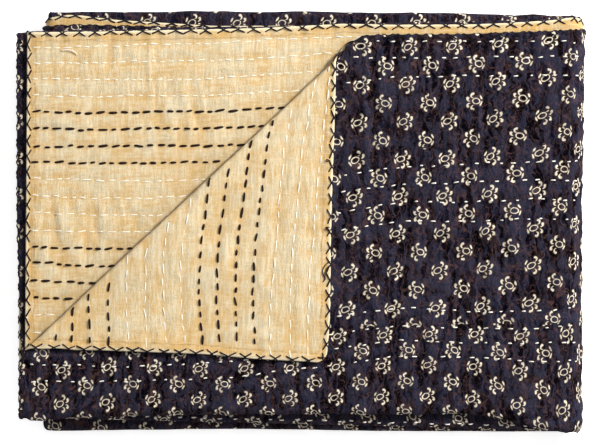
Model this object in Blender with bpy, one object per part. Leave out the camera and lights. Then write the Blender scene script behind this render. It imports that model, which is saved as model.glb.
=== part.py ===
"""A quilted cotton throw of two cloths, folded into four columns and four rows, with one corner
turned back. Each cloth is cut flat and then led through the same folds, so the two never meet:
CLOTH_GAP parts them where they lie flat, and less where a column fold is squashed. Sizes are in
millimetres until a mesh is made. X runs to the right and Y away from the viewer, seen from above,
and the folded throw rests on Z = 0."""

import math

import bpy
import numpy as np
from mathutils import Vector
from mathutils.geometry import delaunay_2d_cdt

MM = 0.001

# Cloth: two of them, quilted together, printed side up before folding
CLOTH_THICK = 1.0
CLOTH_GAP = 0.3
QUILT_THICK = 2 * CLOTH_THICK + CLOTH_GAP
LAYER_GAP = 0.4
CORNER_GAP = 1.4
HEM_CORNER_RADIUS = 9.5

# Quilting: rows of running stitch draw both cloths in along straight lines
ROW_PITCH = 13.7
ROW_DEPTH = 0.55
TOP_FIRST_ROW = 142.0
INNER_FIRST_ROW = 139.0
FLAP_FIRST_ROW = 18.5

# Folded size: the edges of the top column, as seen from above
RIGHT_EDGE = 221.8
LEFT_EDGE = -222.9
TOP_EDGE = 148.8
BOTTOM_EDGE = -152.7
LOWER_LEFT_EDGE = -203.0
INNER_HEM_LEFT = -214.7
LAST_HEM_LEFT = -216.0

# Steps that a half turn is made of, and steps across a flat column
TURN_STEPS = 6
TOP_COLUMN_STEPS = 12
LOWER_COLUMN_STEPS = 4
MERGE_NEAR = 0.5

# Where cuts end: short of a row fold, past a hem, past the ends of the slanted fold and below
# the flap, and how far the cuts reach that go right across the sheet
CUT_OFF_FOLD = 4.0
CUT_PAST_HEM = 5.0
CUT_BEFORE_SLANT = 15.0
CUT_ALONG_SLANT = 348.0
FLAP_CUT_FOOT = -125.0
CUT_FAR = 3000.0

# Soft waves of the top layers: a slow one and one that crosses it, each with its length across
# and its length up the folded throw
WAVE_HEIGHT = 1.6
INNER_WAVE_HEIGHT = 0.6
WAVE_FADE = 40.0
SLOW_WAVE = (170.0, 210.0)
CROSS_WAVE = (330.0, 140.0)
CROSS_WAVE_START = 0.7

# How far the folded strip's edges stand off straight, across the throw in each column:
# column, across, top edge, bottom edge
STRIP_EDGES = (
    ("a", -222.0, 148.8, -154.2),
    ("a", -203.0, 149.0, -155.4),
    ("a", -157.0, 149.9, -153.0),
    ("a", -67.0, 151.5, -151.1),
    ("a", 35.0, 154.6, -151.1),
    ("a", 133.0, 155.4, -151.1),
    ("a", 157.0, 156.4, -154.6),
    ("a", 192.0, 158.6, -163.3),
    ("a", 209.0, 160.2, -165.6),
    ("b", 209.0, 162.6, -165.6),
    ("b", 149.0, 164.1, -165.6),
    ("b", 35.0, 165.6, -164.9),
    ("b", -67.0, 166.4, -163.0),
    ("b", -190.0, 165.6, -164.1),
    ("c", -190.0, 165.2, -164.9),
    ("c", -67.0, 165.2, -163.4),
    ("c", 35.0, 164.4, -164.1),
    ("c", 209.0, 161.6, -165.2),
    ("d", 209.0, 160.0, -164.0),
    ("d", -214.0, 149.6, -154.0),
)

# The hem of the first row of panels, away from the turned corner: column, across, height
FIRST_HEM = (
    ("d", -216.0, 146.0),
    ("d", 209.0, 152.0),
    ("c", 209.0, 152.0),
    ("c", -67.0, 153.0),
    ("c", -180.0, 155.4),
    ("b", -180.0, 152.0),
    ("b", 209.0, 152.0),
    ("a", 216.0, 151.0),
    ("a", 192.0, 149.8),
    ("a", 157.0, 148.6),
    ("a", 102.4, 147.3),
    ("a", 75.8, 147.3),
    ("a", 55.3, 146.6),
    ("a", 48.3, 145.2),
    ("a", 42.0, 142.1),
    ("a", 37.3, 138.2),
    ("a", 34.1, 135.0),
)

# The hem of the last row of panels: column, across, height
LAST_HEM = (
    ("a", -214.7, 149.2),
    ("a", -157.0, 149.6),
    ("a", -67.0, 151.5),
    ("a", -31.8, 152.3),
    ("a", 35.0, 155.8),
    ("a", 70.0, 155.0),
    ("a", 133.0, 155.2),
    ("a", 196.0, 158.6),
    ("a", 216.0, 161.0),
    ("b", 209.0, 155.0),
    ("b", -180.0, 155.0),
    ("c", -180.0, 163.8),
    ("c", -147.0, 159.4),
    ("c", -67.0, 154.6),
    ("c", 209.0, 154.0),
    ("d", 209.0, 152.0),
    ("d", -216.0, 147.0),
)

# The turned corner: the slanted fold, and the hems of the flap as they lie: across, height
SLANT_TOP = (31.0, 131.1)
SLANT_FOOT = (-212.3, -96.6)
FLAP_SIDE_HEM = (
    (27.9, 127.2),
    (27.1, 89.5),
    (24.7, 21.2),
    (23.6, -22.8),
    (23.2, -72.2),
    (21.6, -96.6),
)
FLAP_FOOT_HEM = (
    (5.1, -109.6),
    (-34.9, -107.5),
    (-78.9, -103.6),
    (-176.9, -100.5),
    (-188.8, -99.2),
)

# The side hem of the first panel below the turned corner: across, height
SIDE_HEM = (
    (-217.8, -102.1),
    (-221.0, -110.7),
    (-221.0, -147.5),
)

# The side hem down the hidden rows of panels: row, height, across
HIDDEN_SIDE_HEM = (
    (2, BOTTOM_EDGE + 12.0, LEFT_EDGE + 2.0),
    (2, 0.0, LEFT_EDGE + 1.0),
    (3, TOP_EDGE - 6.0, LEFT_EDGE),
    (3, 0.0, LEFT_EDGE),
    (4, BOTTOM_EDGE + 12.0, INNER_HEM_LEFT - 2.0),
)

COLLECTION = "quilted_throw"
CLOTHS = (
    {"name": "printed_cloth", "low": CLOTH_THICK + CLOTH_GAP, "high": QUILT_THICK,
     "outer": "high", "colour": (0.014, 0.012, 0.020), "roughness": 0.82},
    {"name": "plain_cloth", "low": 0.0, "high": CLOTH_THICK,
     "outer": "low", "colour": (0.78, 0.62, 0.33), "roughness": 0.85},
)


class Turn:
    """A half turn under, or over, of a stack of layers about a straight line."""

    def __init__(self, layers, gap=LAYER_GAP, squash=1.0):
        self.inner = gap / 2
        self.reach = layers * QUILT_THICK + (layers - 1) * LAYER_GAP + self.inner
        self.squash = squash
        self.arc = self.reach * (1 + squash) / 2
        self.length = math.pi * self.arc
        self.edge = self.reach * squash

    def lead(self, run, height):
        """Moves points run past the line and height above the axis, through the turn."""
        angle = np.clip(run / self.arc, 0.0, math.pi)
        bent = self.squash * height * np.sin(angle)
        back = self.length - run
        run = np.where(run <= 0.0, run, np.where(run >= self.length, back, bent))
        return run, height * np.cos(angle)

    def lines(self):
        """Distances past the line at which the turn is cut into flat steps."""
        return [self.length * step / TURN_STEPS for step in range(TURN_STEPS + 1)]


CORNER_TURN = Turn(layers=1, gap=CORNER_GAP)
ROW_TURNS = (Turn(layers=1), Turn(layers=2))
COLUMN_TURNS = (Turn(layers=4, squash=0.8), Turn(layers=8, squash=0.6))

# Fold lines on the flat throw: the second fold of each pair is the one that shows
ROW_FOLD_2 = BOTTOM_EDGE + ROW_TURNS[1].edge
ROW_FOLD_1 = 2 * ROW_FOLD_2 + ROW_TURNS[0].edge - ROW_TURNS[1].length - TOP_EDGE
COLUMN_FOLD_2 = RIGHT_EDGE - COLUMN_TURNS[1].edge
COLUMN_FOLD_1 = (2 * COLUMN_FOLD_2 - LOWER_LEFT_EDGE + COLUMN_TURNS[1].length
                 - COLUMN_TURNS[0].edge)


def along_strip(column, across):
    """Where a place across the folded throw lies along the strip before its columns are folded."""
    second = 2 * COLUMN_FOLD_2 + COLUMN_TURNS[1].length
    first = 2 * COLUMN_FOLD_1 + COLUMN_TURNS[0].length
    places = {"a": across, "b": second - across, "c": first - second + across, "d": first - across}
    return places[column]


def down_sheet(row, height):
    """Where a height on the folded strip lies down the flat sheet, by its row of panels."""
    second = 2 * ROW_FOLD_2 - ROW_TURNS[1].length
    first = 2 * ROW_FOLD_1 - ROW_TURNS[0].length
    return {1: height, 2: second - height, 3: first - second + height, 4: first - height}[row]


EDGE_PLACES = [along_strip(column, across) for column, across, top, bottom in STRIP_EDGES]
EDGE_TOPS = [top - TOP_EDGE for column, across, top, bottom in STRIP_EDGES]
EDGE_BOTTOMS = [bottom - BOTTOM_EDGE for column, across, top, bottom in STRIP_EDGES]


def edge_slope(along):
    """The strip's shift at its lower edge and how fast that grows upwards, at places along it."""
    top = np.interp(along, EDGE_PLACES, EDGE_TOPS)
    bottom = np.interp(along, EDGE_PLACES, EDGE_BOTTOMS)
    return bottom, (top - bottom) / (TOP_EDGE - BOTTOM_EDGE)


def wander(along, height):
    """Lets the folded strip's edges stand off straight."""
    bottom, slope = edge_slope(along)
    return height + bottom + slope * (height - BOTTOM_EDGE)


def straighten(along, height):
    """The height on the straight strip of a place that wander moves to the given height."""
    bottom, slope = edge_slope(along)
    return (height - bottom + slope * BOTTOM_EDGE) / (1 + slope)


def straight_point(point):
    """A place on the top panel, as it was before the strip's edges wandered."""
    return np.array((point[0], float(straighten(point[0], point[1]))))


SLANT_START = straight_point(SLANT_TOP)
SLANT_END = straight_point(SLANT_FOOT)
SLANT_RUN = (SLANT_END - SLANT_START) / np.linalg.norm(SLANT_END - SLANT_START)
SLANT_OUT = np.array((SLANT_RUN[1], -SLANT_RUN[0]))
SLANT_LINE = SLANT_START - SLANT_OUT * CORNER_TURN.edge


def past_slant(points):
    """How far places on the top panel lie past the slanted fold, towards the turned corner."""
    return (np.asarray(points) - SLANT_LINE) @ SLANT_OUT


def unturned(point):
    """The place on the flat sheet of a place on the turned flap."""
    place = straight_point(point)
    return place + SLANT_OUT * (CORNER_TURN.length - 2 * past_slant(place))


def hem_points(row, table):
    """A hem along the sheet's first or last row of panels."""
    points = []
    for column, across, height in table:
        along = along_strip(column, across)
        points.append((along, down_sheet(row, float(straighten(along, height)))))
    return points


def rounded_corner(before, corner, after, steps=5):
    """The points of a hem corner, rounded between two hems."""
    corner = np.array(corner)
    start = corner + HEM_CORNER_RADIUS * unit(np.array(before) - corner)
    end = corner + HEM_CORNER_RADIUS * unit(np.array(after) - corner)
    points = []
    for step in range(steps + 1):
        part = step / steps
        points.append((1 - part) ** 2 * start + 2 * part * (1 - part) * corner + part ** 2 * end)
    return points


def unit(vector):
    """The vector at length one."""
    return vector / np.linalg.norm(vector)


def crossing(a, b, c, d):
    """Where the line through a and b meets the line through c and d."""
    towards, other = b - a, d - c
    matrix = np.column_stack((towards, -other))
    part = np.linalg.solve(matrix, c - a)[0]
    return a + part * towards


def sheet_outline():
    """The outline of the flat sheet, from the far end of its first hem round its turned corner."""
    side = [unturned(point) for point in FLAP_SIDE_HEM]
    foot = [unturned(point) for point in FLAP_FOOT_HEM]
    corner = crossing(side[-2], side[-1], foot[1], foot[0])
    points = hem_points(1, FIRST_HEM)
    points += side
    points += rounded_corner(side[-1], corner, foot[0])
    points += foot
    points += [straight_point(point) for point in SIDE_HEM]
    points += [(across, down_sheet(row, height)) for row, height, across in HIDDEN_SIDE_HEM]
    points += hem_points(4, LAST_HEM)
    return [np.array(point, dtype=float) for point in points]


def column_lines():
    """Cuts across the sheet at the column folds and at even steps between them."""
    last = along_strip("d", LAST_HEM_LEFT)
    ends = [LEFT_EDGE]
    lines = []
    for fold, turn in ((COLUMN_FOLD_2, COLUMN_TURNS[1]), (COLUMN_FOLD_1, COLUMN_TURNS[0]),
                       (along_strip("c", COLUMN_FOLD_2), COLUMN_TURNS[1])):
        lines += [fold + cut for cut in turn.lines()]
        ends += [fold, fold + turn.length]
    ends.append(last)
    steps = (TOP_COLUMN_STEPS, LOWER_COLUMN_STEPS, LOWER_COLUMN_STEPS, 1)
    for count, start, end in zip(steps, ends[0::2], ends[1::2]):
        lines += [start + (end - start) * step / count for step in range(1, count)]
    return lines


def row_lines():
    """Cuts along the sheet at the row folds."""
    lines = []
    for fold, turn in ((ROW_FOLD_2, ROW_TURNS[1]), (ROW_FOLD_1, ROW_TURNS[0]),
                       (down_sheet(3, ROW_FOLD_2), ROW_TURNS[1])):
        lines += [fold - cut for cut in turn.lines()]
    return lines


def row_heights(first, lowest):
    """Heights of the stitch rows and of the ridges between them."""
    count = int(2 * (first - lowest) / ROW_PITCH)
    return [first - step * ROW_PITCH / 2 for step in range(-1, count + 1)]


def slant_point(height):
    """The place at the given height on the slanted fold line."""
    part = (height - SLANT_LINE[1]) / SLANT_RUN[1]
    return SLANT_LINE + part * SLANT_RUN


def quilting_lines():
    """Cuts along the stitch rows and ridges of the panels that show."""
    lines = []
    for height in row_heights(TOP_FIRST_ROW, ROW_FOLD_2 + CUT_OFF_FOLD):
        start = max(LEFT_EDGE - CUT_PAST_HEM, slant_point(height)[0])
        lines.append(((start, height), (COLUMN_FOLD_2, height)))
    for height in row_heights(INNER_FIRST_ROW, SLANT_END[1]):
        level = down_sheet(4, height)
        end = slant_point(height)[0] + CORNER_TURN.edge + ROW_PITCH
        lines.append(((LEFT_EDGE - CUT_PAST_HEM, level), (min(end, COLUMN_FOLD_2), level)))
    for across in flap_rows():
        foot = np.array((across, FLAP_CUT_FOOT))
        top = slant_top_at(across)
        lines.append((tuple(unturned_straight(foot)), tuple(unturned_straight(top))))
    return lines


def flap_rows():
    """Places across the flap of its stitch rows, which run up and down, and of its ridges."""
    count = int(2 * (FLAP_FIRST_ROW - SLANT_END[0]) / ROW_PITCH)
    return [FLAP_FIRST_ROW - step * ROW_PITCH / 2 for step in range(count)]


def slant_top_at(across):
    """The place on the slanted fold line above the given place across the flap."""
    part = (across - SLANT_LINE[0]) / SLANT_RUN[0]
    return SLANT_LINE + part * SLANT_RUN


def unturned_straight(place):
    """The flat place of a place on the flap, on the strip with straight edges."""
    return place + SLANT_OUT * (CORNER_TURN.length - 2 * past_slant(place))


def cut_lines():
    """All straight cuts that the flat sheet's faces keep to, as pairs of ends."""
    lines = [((along, -CUT_FAR), (along, CUT_FAR)) for along in column_lines()]
    lines += [((-CUT_FAR, level), (CUT_FAR, level)) for level in row_lines()]
    for cut in CORNER_TURN.lines():
        middle = SLANT_LINE + SLANT_OUT * cut
        lines.append((middle - SLANT_RUN * CUT_BEFORE_SLANT, middle + SLANT_RUN * CUT_ALONG_SLANT))
    return lines + quilting_lines()


def cut_sheet():
    """The flat sheet as places and triangles, all inside its outline."""
    outline = sheet_outline()
    places = [Vector((float(x), float(y))) for x, y in outline]
    face = list(range(len(places)))
    edges = []
    for start, end in cut_lines():
        edges.append((len(places), len(places) + 1))
        places.append(Vector((float(start[0]), float(start[1]))))
        places.append(Vector((float(end[0]), float(end[1]))))
    cut = delaunay_2d_cdt(places, edges, [face], 0, MERGE_NEAR, True)
    inside = [face for face, source in zip(cut[2], cut[5]) if source]
    used = sorted({corner for face in inside for corner in face})
    number = {corner: index for index, corner in enumerate(used)}
    triangles = [[number[corner] for corner in face] for face in inside]
    return np.array([tuple(cut[0][corner]) for corner in used]), triangles


def smooth(part):
    """A soft step from 0 to 1."""
    part = np.clip(part, 0.0, 1.0)
    return part * part * (3 - 2 * part)


def wave(across, height):
    """Soft waves of the top layers, from 0 to 1, which fade towards the folds."""
    slow = np.sin(2 * math.pi * (across / SLOW_WAVE[0] + height / SLOW_WAVE[1]))
    cross = 2 * math.pi * (height / CROSS_WAVE[1] - across / CROSS_WAVE[0])
    cross = np.sin(cross + CROSS_WAVE_START)
    fade = smooth((COLUMN_FOLD_2 - across) / WAVE_FADE) * smooth((height - ROW_FOLD_2) / WAVE_FADE)
    return (0.5 + 0.5 * slow * cross) * fade


def stitch_depth(places, outer):
    """How far the stitch rows draw a cloth's outer face in, at places on the flat sheet."""
    along, level = places[:, 0], places[:, 1]
    past = past_slant(places)
    first_panel = (along < COLUMN_FOLD_2) & (level > ROW_FOLD_2 + CUT_OFF_FOLD)
    last_panel = (along < COLUMN_FOLD_2) & (level < down_sheet(4, SLANT_END[1]))
    flap_across = along - SLANT_OUT[0] * (2 * past - CORNER_TURN.length)
    inner_height = down_sheet(4, level)
    if outer == "high":
        quilted = first_panel & (past < 0)
        phase = (TOP_FIRST_ROW - level) / ROW_PITCH
    else:
        on_flap = first_panel & (past > CORNER_TURN.length)
        quilted = on_flap | last_panel
        phase = np.where(on_flap, (FLAP_FIRST_ROW - flap_across) / ROW_PITCH,
                         (INNER_FIRST_ROW - inner_height) / ROW_PITCH)
    return np.where(quilted, ROW_DEPTH * (0.5 + 0.5 * np.cos(2 * math.pi * phase)), 0.0)


def fold(places, height):
    """Leads points at a height above the flat sheet's underside through every fold."""
    along, level = places[:, 0].copy(), places[:, 1].copy()
    past = past_slant(places)
    turned = (past > 0) & (along < COLUMN_FOLD_2) & (level > ROW_FOLD_2)
    axis = QUILT_THICK + CORNER_TURN.inner
    run, drop = CORNER_TURN.lead(np.where(turned, past, -1.0), axis - height)
    shift = np.where(turned, run - past, 0.0)
    on_top = (along < COLUMN_FOLD_2) & (level > ROW_FOLD_2)
    last_panel = (along < COLUMN_FOLD_2) & (level < down_sheet(4, ROW_FOLD_2))
    along += SLANT_OUT[0] * shift
    level += SLANT_OUT[1] * shift
    height = np.where(turned, axis - drop, height)

    bottom = 0.0
    for line, turn in zip((ROW_FOLD_1, ROW_FOLD_2), ROW_TURNS):
        axis = bottom - turn.inner
        run, rise = turn.lead(line - level, height - axis)
        level, height = line - run, axis + rise
        bottom = axis - turn.reach
    level = wander(along, level)
    for line, turn in zip((COLUMN_FOLD_1, COLUMN_FOLD_2), COLUMN_TURNS):
        axis = bottom - turn.inner
        run, rise = turn.lead(along - line, height - axis)
        along, height = line + run, axis + rise
        bottom = axis - turn.reach

    swell = wave(along, level)
    shows = smooth(past_slant(np.column_stack((along, level))) / WAVE_FADE)
    height = height + np.where(on_top, WAVE_HEIGHT * swell, 0.0)
    height = height + np.where(last_panel, INNER_WAVE_HEIGHT * swell * shows, 0.0)
    return np.column_stack((along, level, height - bottom))


def rim(triangles):
    """The edges that only one triangle has, each in that triangle's direction."""
    edges = {(a, b) for face in triangles for a, b in zip(face, face[1:] + face[:1])}
    return [edge for edge in edges if edge[::-1] not in edges]


def material(name, colour, roughness):
    """A plain cloth material."""
    made = bpy.data.materials.new(name)
    made.use_nodes = True
    shader = made.node_tree.nodes["Principled BSDF"]
    shader.inputs["Base Color"].default_value = (*colour, 1.0)
    shader.inputs["Roughness"].default_value = roughness
    shader.inputs["Metallic"].default_value = 0.0
    return made


def make_cloth(cloth, places, triangles, centre, collection):
    """One closed cloth: its two faces and its rim, folded."""
    depth = stitch_depth(places, cloth["outer"])
    low = np.full(len(places), cloth["low"])
    high = np.full(len(places), cloth["high"])
    if cloth["outer"] == "high":
        high -= depth
    else:
        low += depth
    points = np.vstack((fold(places, high), fold(places, low)))
    points = (points - centre) * MM
    count = len(places)
    faces = [tuple(face) for face in triangles]
    faces += [tuple(corner + count for corner in reversed(face)) for face in triangles]
    faces += [(b, a, a + count, b + count) for a, b in sorted(rim(triangles))]
    mesh = bpy.data.meshes.new(cloth["name"])
    mesh.from_pydata(points.tolist(), [], faces)
    mesh.validate()
    mesh.materials.append(material(cloth["name"], cloth["colour"], cloth["roughness"]))
    made = bpy.data.objects.new(cloth["name"], mesh)
    collection.objects.link(made)


def folded_centre(places):
    """The middle of the folded throw's outline, on the surface it rests on."""
    faces = [fold(places, np.full(len(places), height)) for height in (0.0, QUILT_THICK)]
    points = np.vstack(faces)
    middle = (points.min(axis=0) + points.max(axis=0)) / 2
    return np.array((middle[0], middle[1], points[:, 2].min()))


for old in list(bpy.data.objects):
    bpy.data.objects.remove(old, do_unlink=True)

throw = bpy.data.collections.new(COLLECTION)
bpy.context.scene.collection.children.link(throw)
sheet_places, sheet_triangles = cut_sheet()
sheet_centre = folded_centre(sheet_places)
for one_cloth in CLOTHS:
    make_cloth(one_cloth, sheet_places, sheet_triangles, sheet_centre, throw)
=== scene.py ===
import math

import bpy
import numpy as np
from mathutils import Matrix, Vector


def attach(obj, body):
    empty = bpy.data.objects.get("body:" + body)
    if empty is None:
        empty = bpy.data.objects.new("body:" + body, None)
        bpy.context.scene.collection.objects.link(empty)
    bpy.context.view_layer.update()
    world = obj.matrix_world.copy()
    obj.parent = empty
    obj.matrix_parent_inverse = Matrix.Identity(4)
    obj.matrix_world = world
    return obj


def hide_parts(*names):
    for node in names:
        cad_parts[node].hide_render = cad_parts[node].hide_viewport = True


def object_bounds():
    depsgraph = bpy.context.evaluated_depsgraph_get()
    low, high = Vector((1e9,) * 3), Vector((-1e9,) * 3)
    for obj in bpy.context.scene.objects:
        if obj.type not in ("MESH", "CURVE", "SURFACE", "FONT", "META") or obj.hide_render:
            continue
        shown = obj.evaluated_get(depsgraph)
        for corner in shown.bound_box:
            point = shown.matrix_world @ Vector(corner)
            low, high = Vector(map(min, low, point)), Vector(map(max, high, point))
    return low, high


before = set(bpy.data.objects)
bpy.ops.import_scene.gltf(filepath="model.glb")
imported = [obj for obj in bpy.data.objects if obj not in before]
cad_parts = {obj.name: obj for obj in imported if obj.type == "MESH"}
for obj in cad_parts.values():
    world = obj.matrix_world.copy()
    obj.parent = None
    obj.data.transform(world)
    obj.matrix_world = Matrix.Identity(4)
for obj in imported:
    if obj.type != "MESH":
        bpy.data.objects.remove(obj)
cad_low, cad_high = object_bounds()

# The folded throw: one sheet of two cottons quilted together, 1.8 by 1.2 m, folded into four
# columns and four rows with one corner turned back. Sizes are in millimetres until a mesh is
# made; across and height are measured on the folded throw, along and level on the flat sheet.
MM = 0.001
QUILT_THICK = 2.3
LAYER_GAP = 0.4
CORNER_GAP = 1.4
HEM_CORNER_RADIUS = 9.5
RIGHT_EDGE = 221.8
LEFT_EDGE = -222.9
TOP_EDGE = 148.8
BOTTOM_EDGE = -152.7
LOWEST_EDGE = -165.6
LOWER_LEFT_EDGE = -203.0
INNER_HEM_LEFT = -214.7
LAST_HEM_LEFT = -216.0

# Soft waves of the top layers: a slow one and one that crosses it, each with its length across
# and its length up the folded throw
WAVE_HEIGHT = 1.6
INNER_WAVE_HEIGHT = 0.6
WAVE_FADE = 40.0
SLOW_WAVE = (170.0, 210.0)
CROSS_WAVE = (330.0, 140.0)
CROSS_WAVE_START = 0.7

# Edges of the folded strip: column, across, top edge, bottom edge
STRIP_EDGES = (
    ("a", -222.0, 148.8, -154.2),
    ("a", -203.0, 149.0, -155.4),
    ("a", -157.0, 149.9, -153.0),
    ("a", -67.0, 151.5, -151.1),
    ("a", 35.0, 154.6, -151.1),
    ("a", 133.0, 155.4, -151.1),
    ("a", 157.0, 156.4, -154.6),
    ("a", 192.0, 158.6, -163.3),
    ("a", 209.0, 160.2, -165.6),
    ("b", 209.0, 162.6, -165.6),
    ("b", 149.0, 164.1, -165.6),
    ("b", 35.0, 165.6, -164.9),
    ("b", -67.0, 166.4, -163.0),
    ("b", -190.0, 165.6, -164.1),
    ("c", -190.0, 165.2, -164.9),
    ("c", -67.0, 165.2, -163.4),
    ("c", 35.0, 164.4, -164.1),
    ("c", 209.0, 161.6, -165.2),
    ("d", 209.0, 160.0, -164.0),
    ("d", -214.0, 149.6, -154.0),
)

# Hem of the first row of panels: column, across, height
FIRST_HEM = (
    ("d", -216.0, 146.0),
    ("d", 209.0, 152.0),
    ("c", 209.0, 152.0),
    ("c", -67.0, 153.0),
    ("c", -180.0, 155.4),
    ("b", -180.0, 152.0),
    ("b", 209.0, 152.0),
    ("a", 216.0, 151.0),
    ("a", 192.0, 149.8),
    ("a", 157.0, 148.6),
    ("a", 102.4, 147.3),
    ("a", 75.8, 147.3),
    ("a", 55.3, 146.6),
    ("a", 48.3, 145.2),
    ("a", 42.0, 142.1),
    ("a", 37.3, 138.2),
    ("a", 34.1, 135.0),
)

# Hem of the last row of panels: column, across, height
LAST_HEM = (
    ("a", -214.7, 149.2),
    ("a", -157.0, 149.6),
    ("a", -67.0, 151.5),
    ("a", -31.8, 152.3),
    ("a", 35.0, 155.8),
    ("a", 70.0, 155.0),
    ("a", 133.0, 155.2),
    ("a", 196.0, 158.6),
    ("a", 216.0, 161.0),
    ("b", 209.0, 155.0),
    ("b", -180.0, 155.0),
    ("c", -180.0, 163.8),
    ("c", -147.0, 159.4),
    ("c", -67.0, 154.6),
    ("c", 209.0, 154.0),
    ("d", 209.0, 152.0),
    ("d", -216.0, 147.0),
)

# The turned corner: its slanted fold, and its hems as they lie: across, height
SLANT_TOP = (31.0, 131.1)
SLANT_FOOT = (-212.3, -96.6)
FLAP_SIDE_HEM = (
    (27.9, 127.2),
    (27.1, 89.5),
    (24.7, 21.2),
    (23.6, -22.8),
    (23.2, -72.2),
    (21.6, -96.6),
)
FLAP_FOOT_HEM = (
    (5.1, -109.6),
    (-34.9, -107.5),
    (-78.9, -103.6),
    (-176.9, -100.5),
    (-188.8, -99.2),
)

# Side hem of the first panel below the turned corner: across, height
SIDE_HEM = (
    (-217.8, -102.1),
    (-221.0, -110.7),
    (-221.0, -147.5),
)

# Side hem down the hidden rows of panels: row, height, across
HIDDEN_SIDE_HEM = (
    (2, 0.0, LEFT_EDGE + 1.0),
    (3, TOP_EDGE - 6.0, LEFT_EDGE),
    (3, 0.0, LEFT_EDGE),
    (4, BOTTOM_EDGE + 12.0, INNER_HEM_LEFT - 2.0),
    (4, TOP_EDGE, INNER_HEM_LEFT),
)


class Turn:
    """A half turn under, or over, of a stack of layers about a straight line."""

    def __init__(self, layers, gap=LAYER_GAP, squash=1.0):
        self.inner = gap / 2
        self.reach = layers * QUILT_THICK + (layers - 1) * LAYER_GAP + self.inner
        self.squash = squash
        self.arc = self.reach * (1 + squash) / 2
        self.length = math.pi * self.arc
        self.edge = self.reach * squash

    def lead(self, run, height):
        """Moves points run past the line and height above the axis, through the turn."""
        angle = np.clip(run / self.arc, 0.0, math.pi)
        bent = self.squash * height * np.sin(angle)
        back = self.length - run
        run = np.where(run <= 0.0, run, np.where(run >= self.length, back, bent))
        return run, height * np.cos(angle)


CORNER_TURN = Turn(layers=1, gap=CORNER_GAP)
ROW_TURNS = (Turn(layers=1), Turn(layers=2))
COLUMN_TURNS = (Turn(layers=4, squash=0.8), Turn(layers=8, squash=0.6))
ROW_FOLD_2 = BOTTOM_EDGE + ROW_TURNS[1].edge
ROW_FOLD_1 = 2 * ROW_FOLD_2 + ROW_TURNS[0].edge - ROW_TURNS[1].length - TOP_EDGE
COLUMN_FOLD_2 = RIGHT_EDGE - COLUMN_TURNS[1].edge
COLUMN_FOLD_1 = (2 * COLUMN_FOLD_2 - LOWER_LEFT_EDGE + COLUMN_TURNS[1].length
                 - COLUMN_TURNS[0].edge)


def along_strip(column, across):
    """Where a place across the folded throw lies along the flat sheet, by its column."""
    second = 2 * COLUMN_FOLD_2 + COLUMN_TURNS[1].length
    first = 2 * COLUMN_FOLD_1 + COLUMN_TURNS[0].length
    places = {"a": across, "b": second - across, "c": first - second + across, "d": first - across}
    return places[column]


def down_sheet(row, height):
    """Where a height on the folded strip lies down the flat sheet, by its row of panels."""
    second = 2 * ROW_FOLD_2 - ROW_TURNS[1].length
    first = 2 * ROW_FOLD_1 - ROW_TURNS[0].length
    return {1: height, 2: second - height, 3: first - second + height, 4: first - height}[row]


EDGE_PLACES = [along_strip(column, across) for column, across, top, bottom in STRIP_EDGES]
EDGE_TOPS = [top - TOP_EDGE for column, across, top, bottom in STRIP_EDGES]
EDGE_BOTTOMS = [bottom - BOTTOM_EDGE for column, across, top, bottom in STRIP_EDGES]


def edge_slope(along):
    """The strip's shift at its lower edge and how fast that grows upwards."""
    top = np.interp(along, EDGE_PLACES, EDGE_TOPS)
    bottom = np.interp(along, EDGE_PLACES, EDGE_BOTTOMS)
    return bottom, (top - bottom) / (TOP_EDGE - BOTTOM_EDGE)


def wander(along, height):
    """Lets the folded strip's edges stand off straight."""
    bottom, slope = edge_slope(along)
    return height + bottom + slope * (height - BOTTOM_EDGE)


def straighten(along, height):
    """The height on the straight strip of a place that wander moves to the given height."""
    bottom, slope = edge_slope(along)
    return (height - bottom + slope * BOTTOM_EDGE) / (1 + slope)


def unit(vector):
    """The vector at length one."""
    return vector / np.linalg.norm(vector)


def top_panel(places):
    """Places on the flat sheet of places seen on the top panel."""
    places = np.atleast_2d(np.asarray(places, dtype=float))
    return np.column_stack((places[:, 0], straighten(places[:, 0], places[:, 1])))


def inner_panel(places):
    """Places on the flat sheet of places seen on the panel under the turned corner."""
    flat = top_panel(places)
    flat[:, 1] = down_sheet(4, flat[:, 1])
    return flat


SLANT_START, SLANT_END = top_panel((SLANT_TOP, SLANT_FOOT))
SLANT_RUN = unit(SLANT_END - SLANT_START)
SLANT_OUT = np.array((SLANT_RUN[1], -SLANT_RUN[0]))
SLANT_LINE = SLANT_START - SLANT_OUT * CORNER_TURN.edge


def past_slant(places):
    """How far places on the top panel lie past the slanted fold, towards the turned corner."""
    return (np.asarray(places) - SLANT_LINE) @ SLANT_OUT


def turned_corner(places):
    """Places on the flat sheet of places seen on the turned corner."""
    flat = top_panel(places)
    return flat + np.outer(CORNER_TURN.length - 2 * past_slant(flat), SLANT_OUT)


def smooth(part):
    """A soft step from 0 to 1."""
    part = np.clip(part, 0.0, 1.0)
    return part * part * (3 - 2 * part)


def swell(across, height):
    """Soft waves of the top layers, from 0 to 1, which fade towards the folds."""
    slow = np.sin(2 * math.pi * (across / SLOW_WAVE[0] + height / SLOW_WAVE[1]))
    cross = 2 * math.pi * (height / CROSS_WAVE[1] - across / CROSS_WAVE[0])
    cross = np.sin(cross + CROSS_WAVE_START)
    fade = smooth((COLUMN_FOLD_2 - across) / WAVE_FADE) * smooth((height - ROW_FOLD_2) / WAVE_FADE)
    return (0.5 + 0.5 * slow * cross) * fade


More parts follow.
